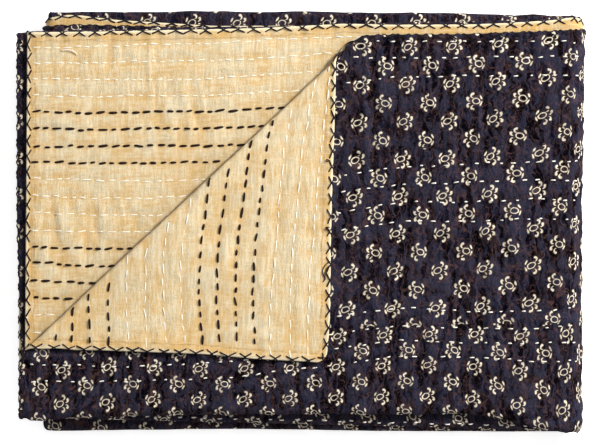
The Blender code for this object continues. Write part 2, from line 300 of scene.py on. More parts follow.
# The hem pulls the top panel's corner out where the slanted fold meets it, and the folded end
# stands out a little near the top
PULL_PLACE = (40.0, 137.0)
PULL_SIZE = 8.5
PULL_REACH = 3.6
FLARE = 2.4
FLARE_START = (120.0, 20.0)
FLARE_OVER = (100.0, 120.0)
SHIFT = np.array((cad_high[0] / MM - RIGHT_EDGE, cad_low[1] / MM - LOWEST_EDGE, 0.0))


def fold(places, height):
    """Leads points at a height above the flat sheet's underside through every fold, in metres."""
    along, level = places[:, 0].copy(), places[:, 1].copy()
    past = past_slant(places)
    turned = (past > 0) & (along < COLUMN_FOLD_2) & (level > ROW_FOLD_2)
    axis = QUILT_THICK + CORNER_TURN.inner
    run, drop = CORNER_TURN.lead(np.where(turned, past, -1.0), axis - height)
    shift = np.where(turned, run - past, 0.0)
    on_top = (along < COLUMN_FOLD_2) & (level > ROW_FOLD_2)
    last_panel = (along < COLUMN_FOLD_2) & (level < down_sheet(4, ROW_FOLD_2))
    along += SLANT_OUT[0] * shift
    level += SLANT_OUT[1] * shift
    height = np.where(turned, axis - drop, height)

    bottom = 0.0
    for line, turn in zip((ROW_FOLD_1, ROW_FOLD_2), ROW_TURNS):
        axis = bottom - turn.inner
        run, rise = turn.lead(line - level, height - axis)
        level, height = line - run, axis + rise
        bottom = axis - turn.reach
    level = wander(along, level)
    for line, turn in zip((COLUMN_FOLD_1, COLUMN_FOLD_2), COLUMN_TURNS):
        axis = bottom - turn.inner
        run, rise = turn.lead(along - line, height - axis)
        along, height = line + run, axis + rise
        bottom = axis - turn.reach

    off_pull = (along - PULL_PLACE[0]) ** 2 + (level - PULL_PLACE[1]) ** 2
    nudge = np.where(on_top, PULL_REACH * np.exp(-off_pull / 2 / PULL_SIZE ** 2), 0.0)
    flare = FLARE * smooth((along - FLARE_START[0]) / FLARE_OVER[0])
    flare = flare * smooth((level - FLARE_START[1]) / FLARE_OVER[1])
    along = along + SLANT_OUT[0] * nudge + flare
    level = level + SLANT_OUT[1] * nudge
    wave = swell(along, level)
    shows = smooth(past_slant(np.column_stack((along, level))) / WAVE_FADE)
    height = height + np.where(on_top, WAVE_HEIGHT * wave, 0.0)
    height = height + np.where(last_panel, INNER_WAVE_HEIGHT * wave * shows, 0.0)
    return (np.column_stack((along, level, height - bottom)) + SHIFT) * MM


def hem_line(row, table):
    """A hem along the sheet's first or last row of panels, as places on the flat sheet."""
    points = []
    for column, across, height in table:
        along = along_strip(column, across)
        points.append((along, down_sheet(row, float(straighten(along, height)))))
    return points


# The sheet's hems, each as a line that gives one place for every place along the other way
first_hem = sorted(hem_line(1, FIRST_HEM) + [tuple(p) for p in turned_corner(FLAP_SIDE_HEM)])
last_hem = sorted(hem_line(4, LAST_HEM))
side_hem = sorted([(level, along) for along, level in turned_corner(FLAP_FOOT_HEM)]
                  + [(level, along) for along, level in top_panel(SIDE_HEM)]
                  + [(down_sheet(row, height), across) for row, height, across in HIDDEN_SIDE_HEM])
END_HEM = along_strip("d", LAST_HEM_LEFT)


def hem_at(line, places):
    """Where a hem line lies at the given places."""
    return np.interp(places, [point[0] for point in line], [point[1] for point in line])


# Printed cloth: thin block-printed indigo cotton, the upper side of the flat sheet. A narrower
# strip of the same cotton is joined on below the middle of the top panel. It is drawn in along
# every row of running stitch and creases between them; its hem is turned in all round.
PRINTED_HEIGHT = QUILT_THICK
PRINTED_STEP = 2.15
RIM_STEPS = (0.0, 0.2, 0.6, 1.3, 2.6, 4.2, 6.0, 7.6)
RIM_RADIUS = 1.3
RIM_MIDDLE = QUILT_THICK / 2
RIM_PARTING = 0.04
HEM_FOLD = 6.8
HEM_FOLD_DEPTH = 0.32
HEM_FOLD_WIDTH = 0.9
# About where the first hem and the side hem meet on the flat sheet: along, level
FLAT_CORNER = (-200.0, 141.0)

# Rows past the charted ones lie ROW_PITCH apart. Cloth is drawn in towards a row from a little
# less than half way to the next, more sharply the greater ROW_SHARP is
ROW_PITCH = 13.8
ROW_NARROW = 1.25
ROW_SHARP = 1.3

# Stitch rows on the top panel: row, then heights at the places across in ROW_PLACES
ROW_PLACES = (-204.5, -126.0, -47.5, 31.0, 78.1, 133.1, 188.0, 217.8)
TOP_ROWS = (
    (0, 141.7, 141.7, 141.7, 141.7, 141.7, 141.7, 142.1, 141.3),
    (1, 128.0, 128.0, 128.0, 128.0, 129.2, 129.1, 130.0, 130.3),
    (2, 108.7, 108.7, 108.7, 108.7, 113.8, 114.6, 115.4, 115.0),
    (7, 36.5, 36.5, 36.5, 36.5, 43.2, 45.9, 47.1, 48.4),
    (8, 23.6, 23.6, 23.6, 23.6, 29.4, 31.4, 33.0, 32.5),
    (9, 7.5, 7.5, 7.5, 7.5, 15.7, 15.7, 18.1, 16.9),
    (10, -6.3, -6.3, -6.3, -6.3, 0.8, 0.8, 2.9, 2.4),
    (15, -73.8, -73.8, -73.8, -73.8, -67.1, -70.3, -69.9, -67.1),
    (16, -99.5, -99.5, -96.3, -87.1, -81.6, -83.6, -84.0, -80.9),
    (17, -112.3, -113.8, -109.1, -99.3, -92.6, -95.0, -95.4, -94.6),
    (18, -124.8, -125.2, -121.3, -111.5, -105.2, -106.0, -110.3, -108.8),
    (21, -165.0, -165.5, -162.0, -153.0, -147.0, -148.0, -153.0, -152.0),
)

# Stitch rows on the panel under the turned corner: row, then heights at INNER_PLACES
INNER_PLACES = (-212.3, -165.2, -118.1, -71.0, -23.9, 23.2)
INNER_ROWS = (
    (0, 137.0, 137.8, 139.3, 140.1, 143.3, 145.1),
    (1, 124.8, 124.8, 126.0, 126.4, 128.3, 132.7),
    (2, 112.6, 111.9, 111.5, 112.3, 115.8, 117.8),
    (3, 99.4, 98.5, 99.1, 99.3, 102.4, 103.6),
    (4, 86.9, 85.6, 86.7, 86.7, 89.5, 91.1),
    (5, 73.8, 72.4, 73.6, 73.5, 75.8, 76.9),
    (6, 59.2, 59.4, 60.4, 59.8, 62.4, 63.6),
    (7, 47.5, 46.2, 46.3, 47.3, 48.7, 49.5),
    (8, 34.5, 32.6, 32.0, 33.5, 34.5, 35.3),
    (9, 21.4, 18.4, 18.6, 21.6, 22.0, 22.0),
    (10, 7.3, 5.7, 5.2, 6.3, 7.1, 7.9),
    (11, -6.9, -7.7, -7.5, -7.1, -6.3, -6.3),
    (12, -19.2, -21.2, -21.0, -20.4, -19.6, -19.6),
    (13, -31.4, -34.5, -34.5, -33.8, -33.8, -33.8),
    (14, -45.5, -48.1, -47.9, -47.1, -47.1, -47.1),
    (15, -58.9, -61.1, -61.2, -60.4, -60.4, -60.4),
    (16, -73.4, -73.8, -74.0, -74.0, -74.0, -74.0),
    (17, -86.9, -87.1, -87.2, -87.2, -87.2, -87.2),
)

# Stitch rows on the turned corner, where they run up and down: row, then across at FLAP_PLACES
FLAP_PLACES = (-96.6, -61.2, -29.8, 17.3, 64.4, 111.5)
FLAP_ROWS = (
    (0, 5.6, 6.3, 7.9, 12.6, 17.1, 22.8),
    (1, -8.0, -8.2, -6.9, -2.5, 2.4, 11.8),
    (2, -23.8, -23.9, -20.4, -16.4, -11.6, -1.2),
    (3, -35.5, -37.3, -36.1, -31.1, -25.5, -12.2),
    (4, -49.7, -50.9, -51.0, -44.7, -38.5, -25.5),
    (5, -63.3, -65.7, -65.3, -59.8, -53.4, -39.0),
    (6, -76.5, -79.7, -79.3, -73.7, -66.3, -52.0),
    (7, -90.7, -94.1, -94.3, -86.7, -79.7, -66.0),
    (8, -105.7, -107.7, -108.2, -100.9, -93.0, -80.0),
    (9, -120.9, -122.5, -121.8, -115.0, -107.0, -93.0),
    (10, -135.2, -136.8, -136.2, -129.9, -120.0, -107.0),
    (11, -150.2, -151.2, -148.8, -144.0, -135.0, -121.0),
    (12, -165.6, -166.0, -163.3, -158.2, -149.0, -135.0),
    (13, -179.0, -179.4, -177.0, -172.0, -163.0, -149.0),
    (14, -192.2, -190.4, -189.6, -185.0, -177.0, -163.0),
)

# Creases of the top panel: start across and height, end across and height, half width, depth;
# a depth below zero is a ridge
CREASES = (
    (142.0, 142.0, 146.0, 60.0, 2.6, 1.3),
    (138.0, 138.0, 142.0, 62.0, 2.4, -0.8),
    (131.0, 58.0, 129.0, 14.0, 2.8, 1.2),
    (127.0, 12.0, 141.0, -26.0, 3.2, 0.9),
    (52.0, 138.0, 52.5, -38.0, 2.2, -0.9),
    (56.5, 136.0, 56.0, 52.0, 2.6, 1.1),
    (70.0, 109.0, 70.5, 50.0, 2.2, -0.8),
    (73.5, 144.0, 70.0, 122.0, 1.8, -0.7),
    (104.5, 141.0, 105.5, 128.0, 2.0, -0.7),
    (113.0, 132.0, 112.0, 114.0, 2.2, 0.8),
    (120.0, 100.0, 119.0, 84.0, 2.0, 0.9),
    (188.0, 108.0, 189.0, 70.0, 2.6, 1.0),
    (198.0, 104.0, 197.0, 86.0, 3.0, -0.8),
    (99.0, -2.0, 98.0, -34.0, 2.2, 0.9),
    (112.0, 48.0, 110.0, 34.0, 2.0, 0.8),
    (114.0, -36.0, 113.0, -58.0, 3.0, -0.7),
    (187.0, 42.0, 190.0, 4.0, 2.4, 0.9),
    (183.0, 40.0, 186.0, 0.0, 2.2, -0.7),
    (152.0, -10.0, 153.0, -24.0, 2.4, -0.7),
    (160.0, 20.0, 158.0, -60.0, 3.5, 0.6),
    (54.0, -58.0, 47.0, -73.0, 2.2, 1.1),
    (39.0, -89.0, 34.0, -98.0, 2.0, 0.9),
    (11.0, -107.0, -2.0, -119.0, 2.4, 1.1),
    (-33.0, -109.0, -55.0, -128.0, 2.8, 1.5),
    (-74.0, -123.0, -73.0, -137.0, 2.0, 0.8),
    (-137.0, -115.0, -142.0, -146.0, 2.2, 0.9),
    (-161.0, -122.0, -176.0, -142.0, 2.6, 1.2),
    (-188.0, -118.0, -188.0, -134.0, 2.2, 1.1),
    (-118.0, -143.0, -116.0, -150.0, 2.0, 0.8),
    (166.0, -118.0, 157.0, -141.0, 2.6, 1.4),
    (157.0, -141.0, 168.0, -160.0, 2.4, 1.0),
    (152.0, -111.0, 152.0, -136.0, 2.6, 1.2),
    (177.0, -96.0, 176.0, -108.0, 2.2, 0.9),
    (189.0, -141.0, 187.0, -154.0, 2.4, 1.0),
    (193.0, -139.0, 190.0, -152.0, 2.0, -0.7),
    (102.0, -140.0, 104.0, -151.0, 1.8, 0.7),
    (132.0, -140.0, 133.0, -151.0, 1.8, 0.7),
)

# How creases sway off straight: how far, over what size, seed
CREASE_SWAYS = (
    (1.3, 14.0, 5),
    (0.8, 5.0, 6),
)
CREASE_STRENGTH = 2.3

# Puckers between the rows, then sharp ridges and furrows. A form leans and stretches as far as
# its shares of along and height say, over a size in millimetres
PUCKERS = (
    {"across": (1.0, 0.0), "up": (0.0, 0.22), "size": 7.5, "seed": 12, "depth": 1.0},
    {"across": (1.0, 0.0), "up": (0.0, 0.35), "size": 3.6, "seed": 13, "depth": 0.8},
    {"across": (1.0, 0.5), "up": (-0.3, 0.5), "size": 9.0, "seed": 14, "depth": 0.6},
)
RIDGES = (
    {"across": (1.0, 0.1), "up": (0.0, 0.13), "size": 9.0, "seed": 17, "sharp": 3.2, "depth": 1.15},
    {"across": (1.0, 0.0), "up": (0.05, 0.12), "size": 8.0, "seed": 18, "sharp": 4.0, "depth": -1.25},
)
# Gathers along the folded end, turned so that they run out from the fold
FOLD_GATHERS = (
    {"across": (0.0, 1.0), "up": (0.2, 0.0), "size": 4.2, "seed": 15, "depth": 0.9},
    {"across": (0.0, 1.0), "up": (1.0, 0.0), "size": 9.0, "seed": 16, "depth": 0.6},
)
RELIEF_LIMITS = (-1.7, 2.4)
ROW_DEPTH = 0.85
SEAM_RISE = 0.45
SEAM_DEPTH = 0.5

# Joint of the narrower strip: across, height
SEAM = (
    (-60.0, -84.5),
    (30.0, -83.2),
    (78.0, -81.6),
    (149.0, -79.5),
    (188.0, -80.9),
    (222.0, -79.0),
)


PATCH_COLUMNS = 97
PATCH_ROWS = 89


def patches(across, height, size, seed):
    """Smooth random values from -1 to 1 that change over about the given size."""
    table = np.random.default_rng(seed).uniform(-1.0, 1.0, (PATCH_COLUMNS, PATCH_ROWS))
    u, v = across / size, height / size
    i, j = np.floor(u).astype(int), np.floor(v).astype(int)
    s, t = smooth(u - i), smooth(v - j)
    corners = [table[(i + a) % PATCH_COLUMNS, (j + b) % PATCH_ROWS] for a in (0, 1) for b in (0, 1)]
    lower = corners[0] * (1 - t) + corners[1] * t
    upper = corners[2] * (1 - t) + corners[3] * t
    return lower * (1 - s) + upper * s


def leaning_patches(along, height, form):
    """Smooth random values from -1 to 1 that lean and stretch as a form's shares say."""
    across = form["across"][0] * along + form["across"][1] * height
    up = form["up"][0] * along + form["up"][1] * height
    return patches(across, up, form["size"], form["seed"])


def relief_of(forms, along, height):
    """The relief of several forms together."""
    return sum(form["depth"] * leaning_patches(along, height, form) for form in forms)


def row_number(table, stations, station, place):
    """Which stitch row places lie on, whole at a row and halfway between at the puffs."""
    lines = [(row[0], np.interp(station, stations, row[1:])) for row in table]
    number = lines[0][0] + (lines[0][1] - place) / ROW_PITCH
    for (first, start), (second, end) in zip(lines, lines[1:]):
        inside = first + (start - place) / (start - end) * (second - first)
        number = np.where(place < start, inside, number)
    last, end = lines[-1]
    return np.where(place < end, last + (end - place) / ROW_PITCH, number)


def drawn_in(number):
    """How deep the rows of stitching draw a cloth in: 1 at a row, 0 between rows."""
    off = np.abs(number - np.round(number)) * 2
    return (1 - smooth(off * ROW_NARROW)) ** ROW_SHARP


def seen_height(along, level):
    """Height on the folded throw of places in the first row of panels, carried on below it."""
    return wander(along, np.maximum(level, ROW_FOLD_2)) + np.minimum(level - ROW_FOLD_2, 0.0)


def crease_relief(table, across, height):
    """The listed creases of a panel."""
    relief = np.zeros_like(across)
    sway = sum(far * patches(across, height, size, seed) for far, size, seed in CREASE_SWAYS)
    for x0, y0, x1, y1, half, depth in table:
        length = math.hypot(x1 - x0, y1 - y0)
        run = np.array((x1 - x0, y1 - y0)) / length
        ahead = (across - x0) * run[0] + (height - y0) * run[1]
        aside = (height - y0) * run[0] - (across - x0) * run[1] + sway
        part = np.clip(ahead / length, 0.0, 1.0)
        ends = smooth((ahead + 5.0) / 12.0) * smooth((length + 5.0 - ahead) / 12.0)
        width = half * (0.7 + 0.5 * np.sin(math.pi * part))
        relief -= depth * ends * np.exp(-(aside / width) ** 2)
        relief += 0.35 * depth * ends * np.exp(-((aside - 2.2 * width) / width) ** 2)
    return relief


def seam_drop(across, height):
    """How far places on the top panel lie below the joint of the narrower strip."""
    return np.interp(across, [p[0] for p in SEAM], [p[1] for p in SEAM]) - height


def hem_distance(along, level):
    """How far places on the flat sheet lie inside its hems."""
    side = along - hem_at(side_hem, level)
    first = hem_at(first_hem, along) - level
    last = level - hem_at(last_hem, along)
    return np.minimum(np.minimum(side, END_HEM - along), np.minimum(first, last))


def printed_relief(places):
    """How far the printed cloth stands off its even height, on the flat sheet."""
    along, level = places[:, 0], places[:, 1]
    height = seen_height(along, level)
    past = past_slant(places)
    on_top = smooth((COLUMN_FOLD_2 + 46.0 - along) / 12.0) * smooth((level - ROW_FOLD_2 + 11.0) / 6.0)
    open_top = on_top * smooth(-past / 3.0)
    rows = row_number(TOP_ROWS, ROW_PLACES, along, height)
    pinch = 0.7 + 0.5 * patches(along, height, 7.0, 11)
    puckers, narrow = [leaning_patches(along, height, form) for form in PUCKERS[:2]]
    between = 1 - 0.6 * drawn_in(rows)
    relief = -ROW_DEPTH * drawn_in(rows) * pinch
    relief += between * relief_of(PUCKERS, along, height)
    for form in RIDGES:
        near = 1 - form["sharp"] * np.abs(leaning_patches(along, height, form))
        relief += form["depth"] * smooth(near)
    relief += CREASE_STRENGTH * crease_relief(CREASES, along, height)
    drop = seam_drop(along, height)
    relief += SEAM_RISE * smooth(-drop / 1.2 + 0.5) * smooth((drop + 12.0) / 10.0)
    relief -= SEAM_DEPTH * np.exp(-((drop - 1.2) / 1.1) ** 2)
    at_fold = smooth((along - COLUMN_FOLD_2 + 4.0) / 16.0)
    relief += at_fold * relief_of(FOLD_GATHERS, along, height)
    relief = np.clip(relief, *RELIEF_LIMITS)
    quiet = 0.20 * puckers + 0.12 * narrow - 0.14 * drawn_in(rows)
    turned_edge = smooth((ROW_FOLD_1 + 9.0 - level) / 4.0) * smooth((level - ROW_FOLD_1 + 22.0) / 6.0)
    quiet = quiet * (1 + 2.2 * turned_edge) + 0.2 * turned_edge
    relief = open_top * relief + (1 - open_top) * quiet
    inside = hem_distance(along, level)
    hem = 0.22 * smooth((HEM_FOLD + 1.0 - inside) / 2.0)
    hem = hem - HEM_FOLD_DEPTH * np.exp(-((inside - HEM_FOLD) / HEM_FOLD_WIDTH) ** 2)
    return relief * (0.35 + 0.65 * smooth(inside / 9.0)) + hem * (0.3 + 0.7 * open_top)


def rim_height(places, face, relief):
    """Height of a cloth's face above the flat sheet's underside, rounded in at the hem."""
    inside = np.clip(hem_distance(places[:, 0], places[:, 1]) / RIM_RADIUS, 0.0, 1.0)
    rounded = np.sqrt(np.clip(1 - (1 - inside) ** 2, 0.0, 1.0))
    middle = RIM_MIDDLE + (RIM_PARTING if face > RIM_MIDDLE else -RIM_PARTING)
    return middle + (face + relief - middle) * rounded


def from_hem(hem, line, count):
    """Places from a hem to a fold line: close together at the rim, then evenly spread."""
    towards = np.sign(line - hem)
    rim = [hem + towards * step for step in RIM_STEPS]
    start = rim[-1]
    return rim + [start + (line - start) * step / count for step in range(1, count + 1)]


def stepped(start, stops):
    """Places just past a start, in even steps to each stop; stops are places and step counts."""
    places = [start]
    for stop, count in stops:
        start = places[-1]
        places += [start + (stop - start) * step / count for step in range(1, count + 1)]
    return places[1:]


def sheet_grid(step, first_count, last_count, turn_count):
    """A grid of places on the flat sheet that keeps to its hems and fold lines."""
    wide = int((COLUMN_FOLD_2 - LEFT_EDGE) / step)
    second, first = COLUMN_TURNS[1].length, COLUMN_TURNS[0].length
    third = along_strip("c", COLUMN_FOLD_2)
    rest = stepped(COLUMN_FOLD_2, (
        (COLUMN_FOLD_2 + second, 2 * turn_count),
        (COLUMN_FOLD_1, 30),
        (COLUMN_FOLD_1 + first, turn_count),
        (third, 36),
        (third + second, turn_count),
        (END_HEM - RIM_STEPS[-1], 30),
    ))
    rest += [END_HEM - step for step in reversed(RIM_STEPS[:-1])]
    fourth = down_sheet(3, ROW_FOLD_2)
    level_rest = stepped(ROW_FOLD_2, (
        (ROW_FOLD_2 - ROW_TURNS[1].length, 9),
        (ROW_FOLD_1, 16),
        (ROW_FOLD_1 - ROW_TURNS[0].length, 8),
        (ROW_FOLD_1 - ROW_TURNS[0].length - 18.0, 8),
        (fourth, 16),
        (fourth - ROW_TURNS[1].length, 7),
    ))

    even_first = from_hem(FLAT_CORNER[1], ROW_FOLD_2, first_count)
    even_last = from_hem(down_sheet(4, TOP_EDGE), down_sheet(4, ROW_FOLD_2), last_count)
    levels = np.array(even_first + level_rest + even_last[::-1][1:])
    side = hem_at(side_hem, levels)
    along = np.array(from_hem(side, COLUMN_FOLD_2, wide) + [np.full_like(side, x) for x in rest])
    even_along = along[:, len(even_first) // 2]
    first_part = np.array(from_hem(hem_at(first_hem, even_along), ROW_FOLD_2, first_count))
    last_part = np.array(from_hem(hem_at(last_hem, even_along), down_sheet(4, ROW_FOLD_2), last_count))
    middle = np.repeat(np.array(level_rest)[:, None], len(even_along), axis=1)
    level = np.concatenate((first_part, middle, last_part[::-1][1:])).T

    corner_along, corner_level = hem_at(side_hem, FLAT_CORNER[1]), hem_at(first_hem, FLAT_CORNER[0])
    p = np.clip(1 - (along - corner_along) / HEM_CORNER_RADIUS, 0.0, 1.0)
    q = np.clip(1 - (corner_level - level) / HEM_CORNER_RADIUS, 0.0, 1.0)
    along = along + HEM_CORNER_RADIUS * p * (1 - np.sqrt(1 - q * q / 2))
    level = level - HEM_CORNER_RADIUS * q * (1 - np.sqrt(1 - p * p / 2))
    return along, level


def grid_triangles(rows, columns):
    """Triangles of a grid, cut the way that the slanted fold runs."""
    number = np.arange(rows * columns).reshape(rows, columns)
    a, b = number[:-1, :-1].ravel(), number[1:, :-1].ravel()
    c, d = number[1:, 1:].ravel(), number[:-1, 1:].ravel()
    return np.concatenate((np.column_stack((a, b, d)), np.column_stack((b, c, d))))


def cloth_object(name, points, triangles, facts):
    """One thin sheet with smooth shading; facts are values or vectors at its points."""
    mesh = bpy.data.meshes.new(name)
    mesh.from_pydata(points.tolist(), [], triangles.tolist())
    for label, values in facts.items():
        kind = "FLOAT_VECTOR" if values.ndim == 2 else "FLOAT"
        key = "vector" if values.ndim == 2 else "value"
        layer = mesh.attributes.new(label, kind, "POINT")
        layer.data.foreach_set(key, np.ascontiguousarray(values, dtype=np.float32).ravel())
    mesh.shade_smooth()
    made = bpy.data.objects.new(name, mesh)
    bpy.context.scene.collection.objects.link(made)
    return made


# The block print: places across of the half-drop columns, in the wide cloth and in the strip,
# and the height of one row of flowers with the spacing of the rows there
WIDE_COLUMNS = (
    (-217.3, -14),
    (41.7, 0),
    (59.5, 1),
    (77.4, 2),
    (94.7, 3),
    (112.0, 4),
    (130.8, 5),
    (147.3, 6),
    (166.2, 7),
    (185.5, 8),
    (203.5, 9),
    (219.5, 10),
    (827.2, 44),
    (1601.7, 87),
)
WIDE_ROWS = (
    (38.9, 136.3),
    (82.0, 137.4),
    (117.4, 137.7),
    (153.5, 139.7),
    (188.0, 142.1),
    (217.8, 145.0),
    (824.7, 137.6),
    (893.1, 133.6),
    (1003.3, 130.8),
)
WIDE_ROW_PITCH = 29.3
STRIP_ROW_PITCH = 25.0
COLUMN_PITCH = 17.9
STRIP_COLUMNS = (
    (-688.0, -28),
    (-186.0, 0),
    (208.5, 22),
    (825.5, 56),
    (1600.0, 99),
)
STRIP_ROWS = (
    (-186.4, -116.2, 26.7),
    (-151.1, -113.8, 27.5),
    (-115.0, -114.6, 24.6),
    (-78.9, -115.4, 24.3),
    (-8.2, -114.6, 24.0),
    (99.3, -112.3, 24.3),
    (136.2, -113.6, 25.5),
    (170.7, -117.0, 27.1),
    (207.6, -117.8, 30.5),
    (824.7, -155.4, 25.0),
    (893.1, -159.4, 25.0),
    (1003.3, -162.2, 25.0),
)
# The third row of panels shows at the left and top edges: across, column; across, row height
THIRD_COLUMNS = (
    (-224.0, -14),
    (842.1, 46),
    (1549.8, 86),
)
THIRD_ROWS = (
    (-219.4, -67.0),
    (842.1, -77.6),
)
WIDE_LEAN = 0.065
STRIP_LEAN = 0.05


def column_of(table, place):
    """A named column of a short table, between its rows."""
    return [np.interp(place, [row[0] for row in table], [row[k] for row in table])
            for k in range(1, len(table[0]))]


def print_cells(along, level):
    """Places on the block print, counted in half columns and rows, in both cloths."""
    height = seen_height(along, level)
    column = column_of(WIDE_COLUMNS, along - WIDE_LEAN * (height - 7.0))[0]
    row = (column_of(WIDE_ROWS, along)[0] - height) / WIDE_ROW_PITCH
    third_height = wander(along, level - down_sheet(3, 0.0))
    third_column = column_of(THIRD_COLUMNS, along)[0]
    third_row = (column_of(THIRD_ROWS, along)[0] - third_height) / WIDE_ROW_PITCH
    third = smooth((-210.0 - level) / 150.0)
    wide = np.column_stack((column + third * (third_column - column),
                            row + third * (third_row - row), np.zeros_like(row)))
    strip_column = column_of(STRIP_COLUMNS, along - STRIP_LEAN * (height + 114.0))[0]
    start, pitch = column_of(STRIP_ROWS, along)
    strip = np.column_stack((strip_column, (start - height) / pitch, np.zeros_like(row)))
    return wide, strip


grid_along, grid_level = sheet_grid(PRINTED_STEP, 138, 34, 10)
sheet = np.column_stack((grid_along.ravel(), grid_level.ravel()))
relief = printed_relief(sheet)
faces = grid_triangles(*grid_along.shape)[:, ::-1]
wide_cells, strip_cells = print_cells(sheet[:, 0], sheet[:, 1])
in_first_row = smooth((sheet[:, 1] + 260.0) / 40.0)
below_seam = seam_drop(sheet[:, 0], seen_height(sheet[:, 0], sheet[:, 1]))
printed_cloth = cloth_object(
    "PrintedCloth",
    fold(sheet, rim_height(sheet, PRINTED_HEIGHT, relief)),
    faces,
    {
        "flat_place": np.column_stack((sheet, np.zeros(len(sheet)))),
        "wide_cells": wide_cells,
        "strip_cells": strip_cells,
        "below_seam": np.where(in_first_row > 0.5, below_seam, -50.0),
        "relief": relief,
    },
)
rim_along, rim_level = grid_along.copy(), grid_level.copy()


def put(tree, kind, inputs=None, **settings):
    """Adds a node with the given settings; its inputs are joined to sockets or set to values."""
    made = tree.nodes.new(kind)
    for name, value in settings.items():
        setattr(made, name, value)
    for name, value in (inputs or {}).items():
        if isinstance(value, bpy.types.NodeSocket):
            tree.links.new(value, made.inputs[name])
        else:
            made.inputs[name].default_value = value
    return made


def reckon(tree, operation, *values):
    """A maths node of one, two or three values."""
    return put(tree, "ShaderNodeMath", dict(enumerate(values)), operation=operation).outputs[0]


def step_between(tree, value, low, high, start=0.0, end=1.0):
    """A soft step of a value from start to end, between low and high."""
    inputs = {"Value": value, "From Min": low, "From Max": high, "To Min": start, "To Max": end}
    return put(tree, "ShaderNodeMapRange", inputs, interpolation_type="SMOOTHSTEP").outputs[0]


def mix_colours(tree, part, first, second, mode="MIX"):
    """Mixes two colours."""
    inputs = {0: part, 6: first, 7: second}
    made = put(tree, "ShaderNodeMix", inputs, data_type="RGBA", blend_type=mode)
    return made.outputs[2]


def fact(tree, label, output="Vector"):
    """A value or vector that was kept at the mesh's points."""
    return put(tree, "ShaderNodeAttribute", attribute_name=label).outputs[output]


def mottle(tree, place, size, stretch=(1.0, 1.0, 1.0), detail=2.0, roughness=0.5, distort=0.0):
    """Soft random values from 0 to 1 that change over the given size."""
    scaled = put(tree, "ShaderNodeMapping", {"Vector": place, "Scale": stretch}).outputs[0]
    inputs = {"Vector": scaled, "Scale": 1.0 / size, "Detail": detail, "Roughness": roughness,
              "Distortion": distort}
    return put(tree, "ShaderNodeTexNoise", inputs).outputs[0]


def shader_group(name, inputs, outputs):
    """An empty shader node group with named inputs, each with a start value, and outputs."""
    group = bpy.data.node_groups.new(name, "ShaderNodeTree")
    for label, kind, start in inputs:
        group.interface.new_socket(label, in_out="INPUT", socket_type=kind).default_value = start
    for label, kind in outputs:
        group.interface.new_socket(label, in_out="OUTPUT", socket_type=kind)
    given = group.nodes.new("NodeGroupInput").outputs
    wanted = group.nodes.new("NodeGroupOutput").inputs
    return group, given, wanted


# One printed flower in each cell: an almond ring, two leaves behind it and four curled petals
# before it, mirrored in every second column, which also sits half a row lower
RING_REACH = (3.2, 2.3)
RING_LINE = 0.39
RING_SHARP = 2.7
RING_ANGLE = math.radians(24)
LEAF_PLACE = (-4.2, 2.75)
LEAF_REACH = (2.0, 0.72)
LEAF_ANGLE = math.radians(64)
# The flower sits a little off its cell's middle; flowers lean by chance, and the block's edge
# wobbles
FLOWER_OFFSET = 1.45
FLOWER_LEAN = 0.36
WOBBLE_SCALE = 9.0
WOBBLE_REACH = 0.9
# Each curl is part of a ring that grows from a thin stem to a thick head
CURLS = (
    {"place": (2.4, 4.9), "radius": 1.75, "stem": -80, "head": 80, "thin": 0.22, "thick": 1.05},
    {"place": (5.3, 2.7), "radius": 1.75, "stem": -90, "head": 25, "thin": 0.22, "thick": 1.10},
)
print_group, given, wanted = shader_group(
    "block print",
    (("Cells", "NodeSocketVector", (0.0, 0.0, 0.0)), ("Across", "NodeSocketFloat", COLUMN_PITCH),
     ("Down", "NodeSocketFloat", WIDE_ROW_PITCH), ("Size", "NodeSocketFloat", 1.0)),
    (("Flower", "NodeSocketFloat"), ("Stain", "NodeSocketFloat")),
)
tree = print_group
cells = put(tree, "ShaderNodeSeparateXYZ", {0: given["Cells"]}).outputs
column = reckon(tree, "ROUND", cells[0])
odd = reckon(tree, "ABSOLUTE", reckon(tree, "MODULO", column, 2.0))
side = reckon(tree, "MULTIPLY_ADD", odd, -2.0, 1.0)
lowered = reckon(tree, "MULTIPLY_ADD", odd, -0.5, cells[1])
row = reckon(tree, "ROUND", lowered)
across = reckon(tree, "MULTIPLY", reckon(tree, "SUBTRACT", cells[0], column), given["Across"])
across = reckon(tree, "MULTIPLY_ADD", across, side, FLOWER_OFFSET)
height = reckon(tree, "MULTIPLY", reckon(tree, "SUBTRACT", row, lowered), given["Down"])
which = put(tree, "ShaderNodeCombineXYZ", {0: column, 1: row}).outputs[0]
chance = put(tree, "ShaderNodeTexWhiteNoise", {"Vector": which}, noise_dimensions="3D").outputs
shares = put(tree, "ShaderNodeSeparateColor", {0: chance["Color"]}).outputs
tilt = reckon(tree, "MULTIPLY_ADD", shares[0], FLOWER_LEAN, -FLOWER_LEAN / 2)
spot = put(tree, "ShaderNodeCombineXYZ", {0: across, 1: height}).outputs[0]
spot = put(tree, "ShaderNodeVectorRotate", {"Vector": spot, "Angle": tilt}, rotation_type="Z_AXIS")
wobble = put(tree, "ShaderNodeTexNoise", {"Vector": given["Cells"], "Scale": WOBBLE_SCALE, "Detail": 1.0})
wobble = put(tree, "ShaderNodeVectorMath", {0: wobble.outputs[1], 1: (0.5, 0.5, 0.5)},
             operation="SUBTRACT").outputs[0]
wobble = {0: wobble, 1: (WOBBLE_REACH, WOBBLE_REACH, 0.0), 2: spot.outputs[0]}
spot = put(tree, "ShaderNodeVectorMath", wobble, operation="MULTIPLY_ADD").outputs[0]
spot = put(tree, "ShaderNodeVectorMath", {0: spot, "Scale": given["Size"]}, operation="SCALE")
parts = put(tree, "ShaderNodeSeparateXYZ", {0: spot.outputs[0]}).outputs
x, y = parts[0], reckon(tree, "ABSOLUTE", parts[1])


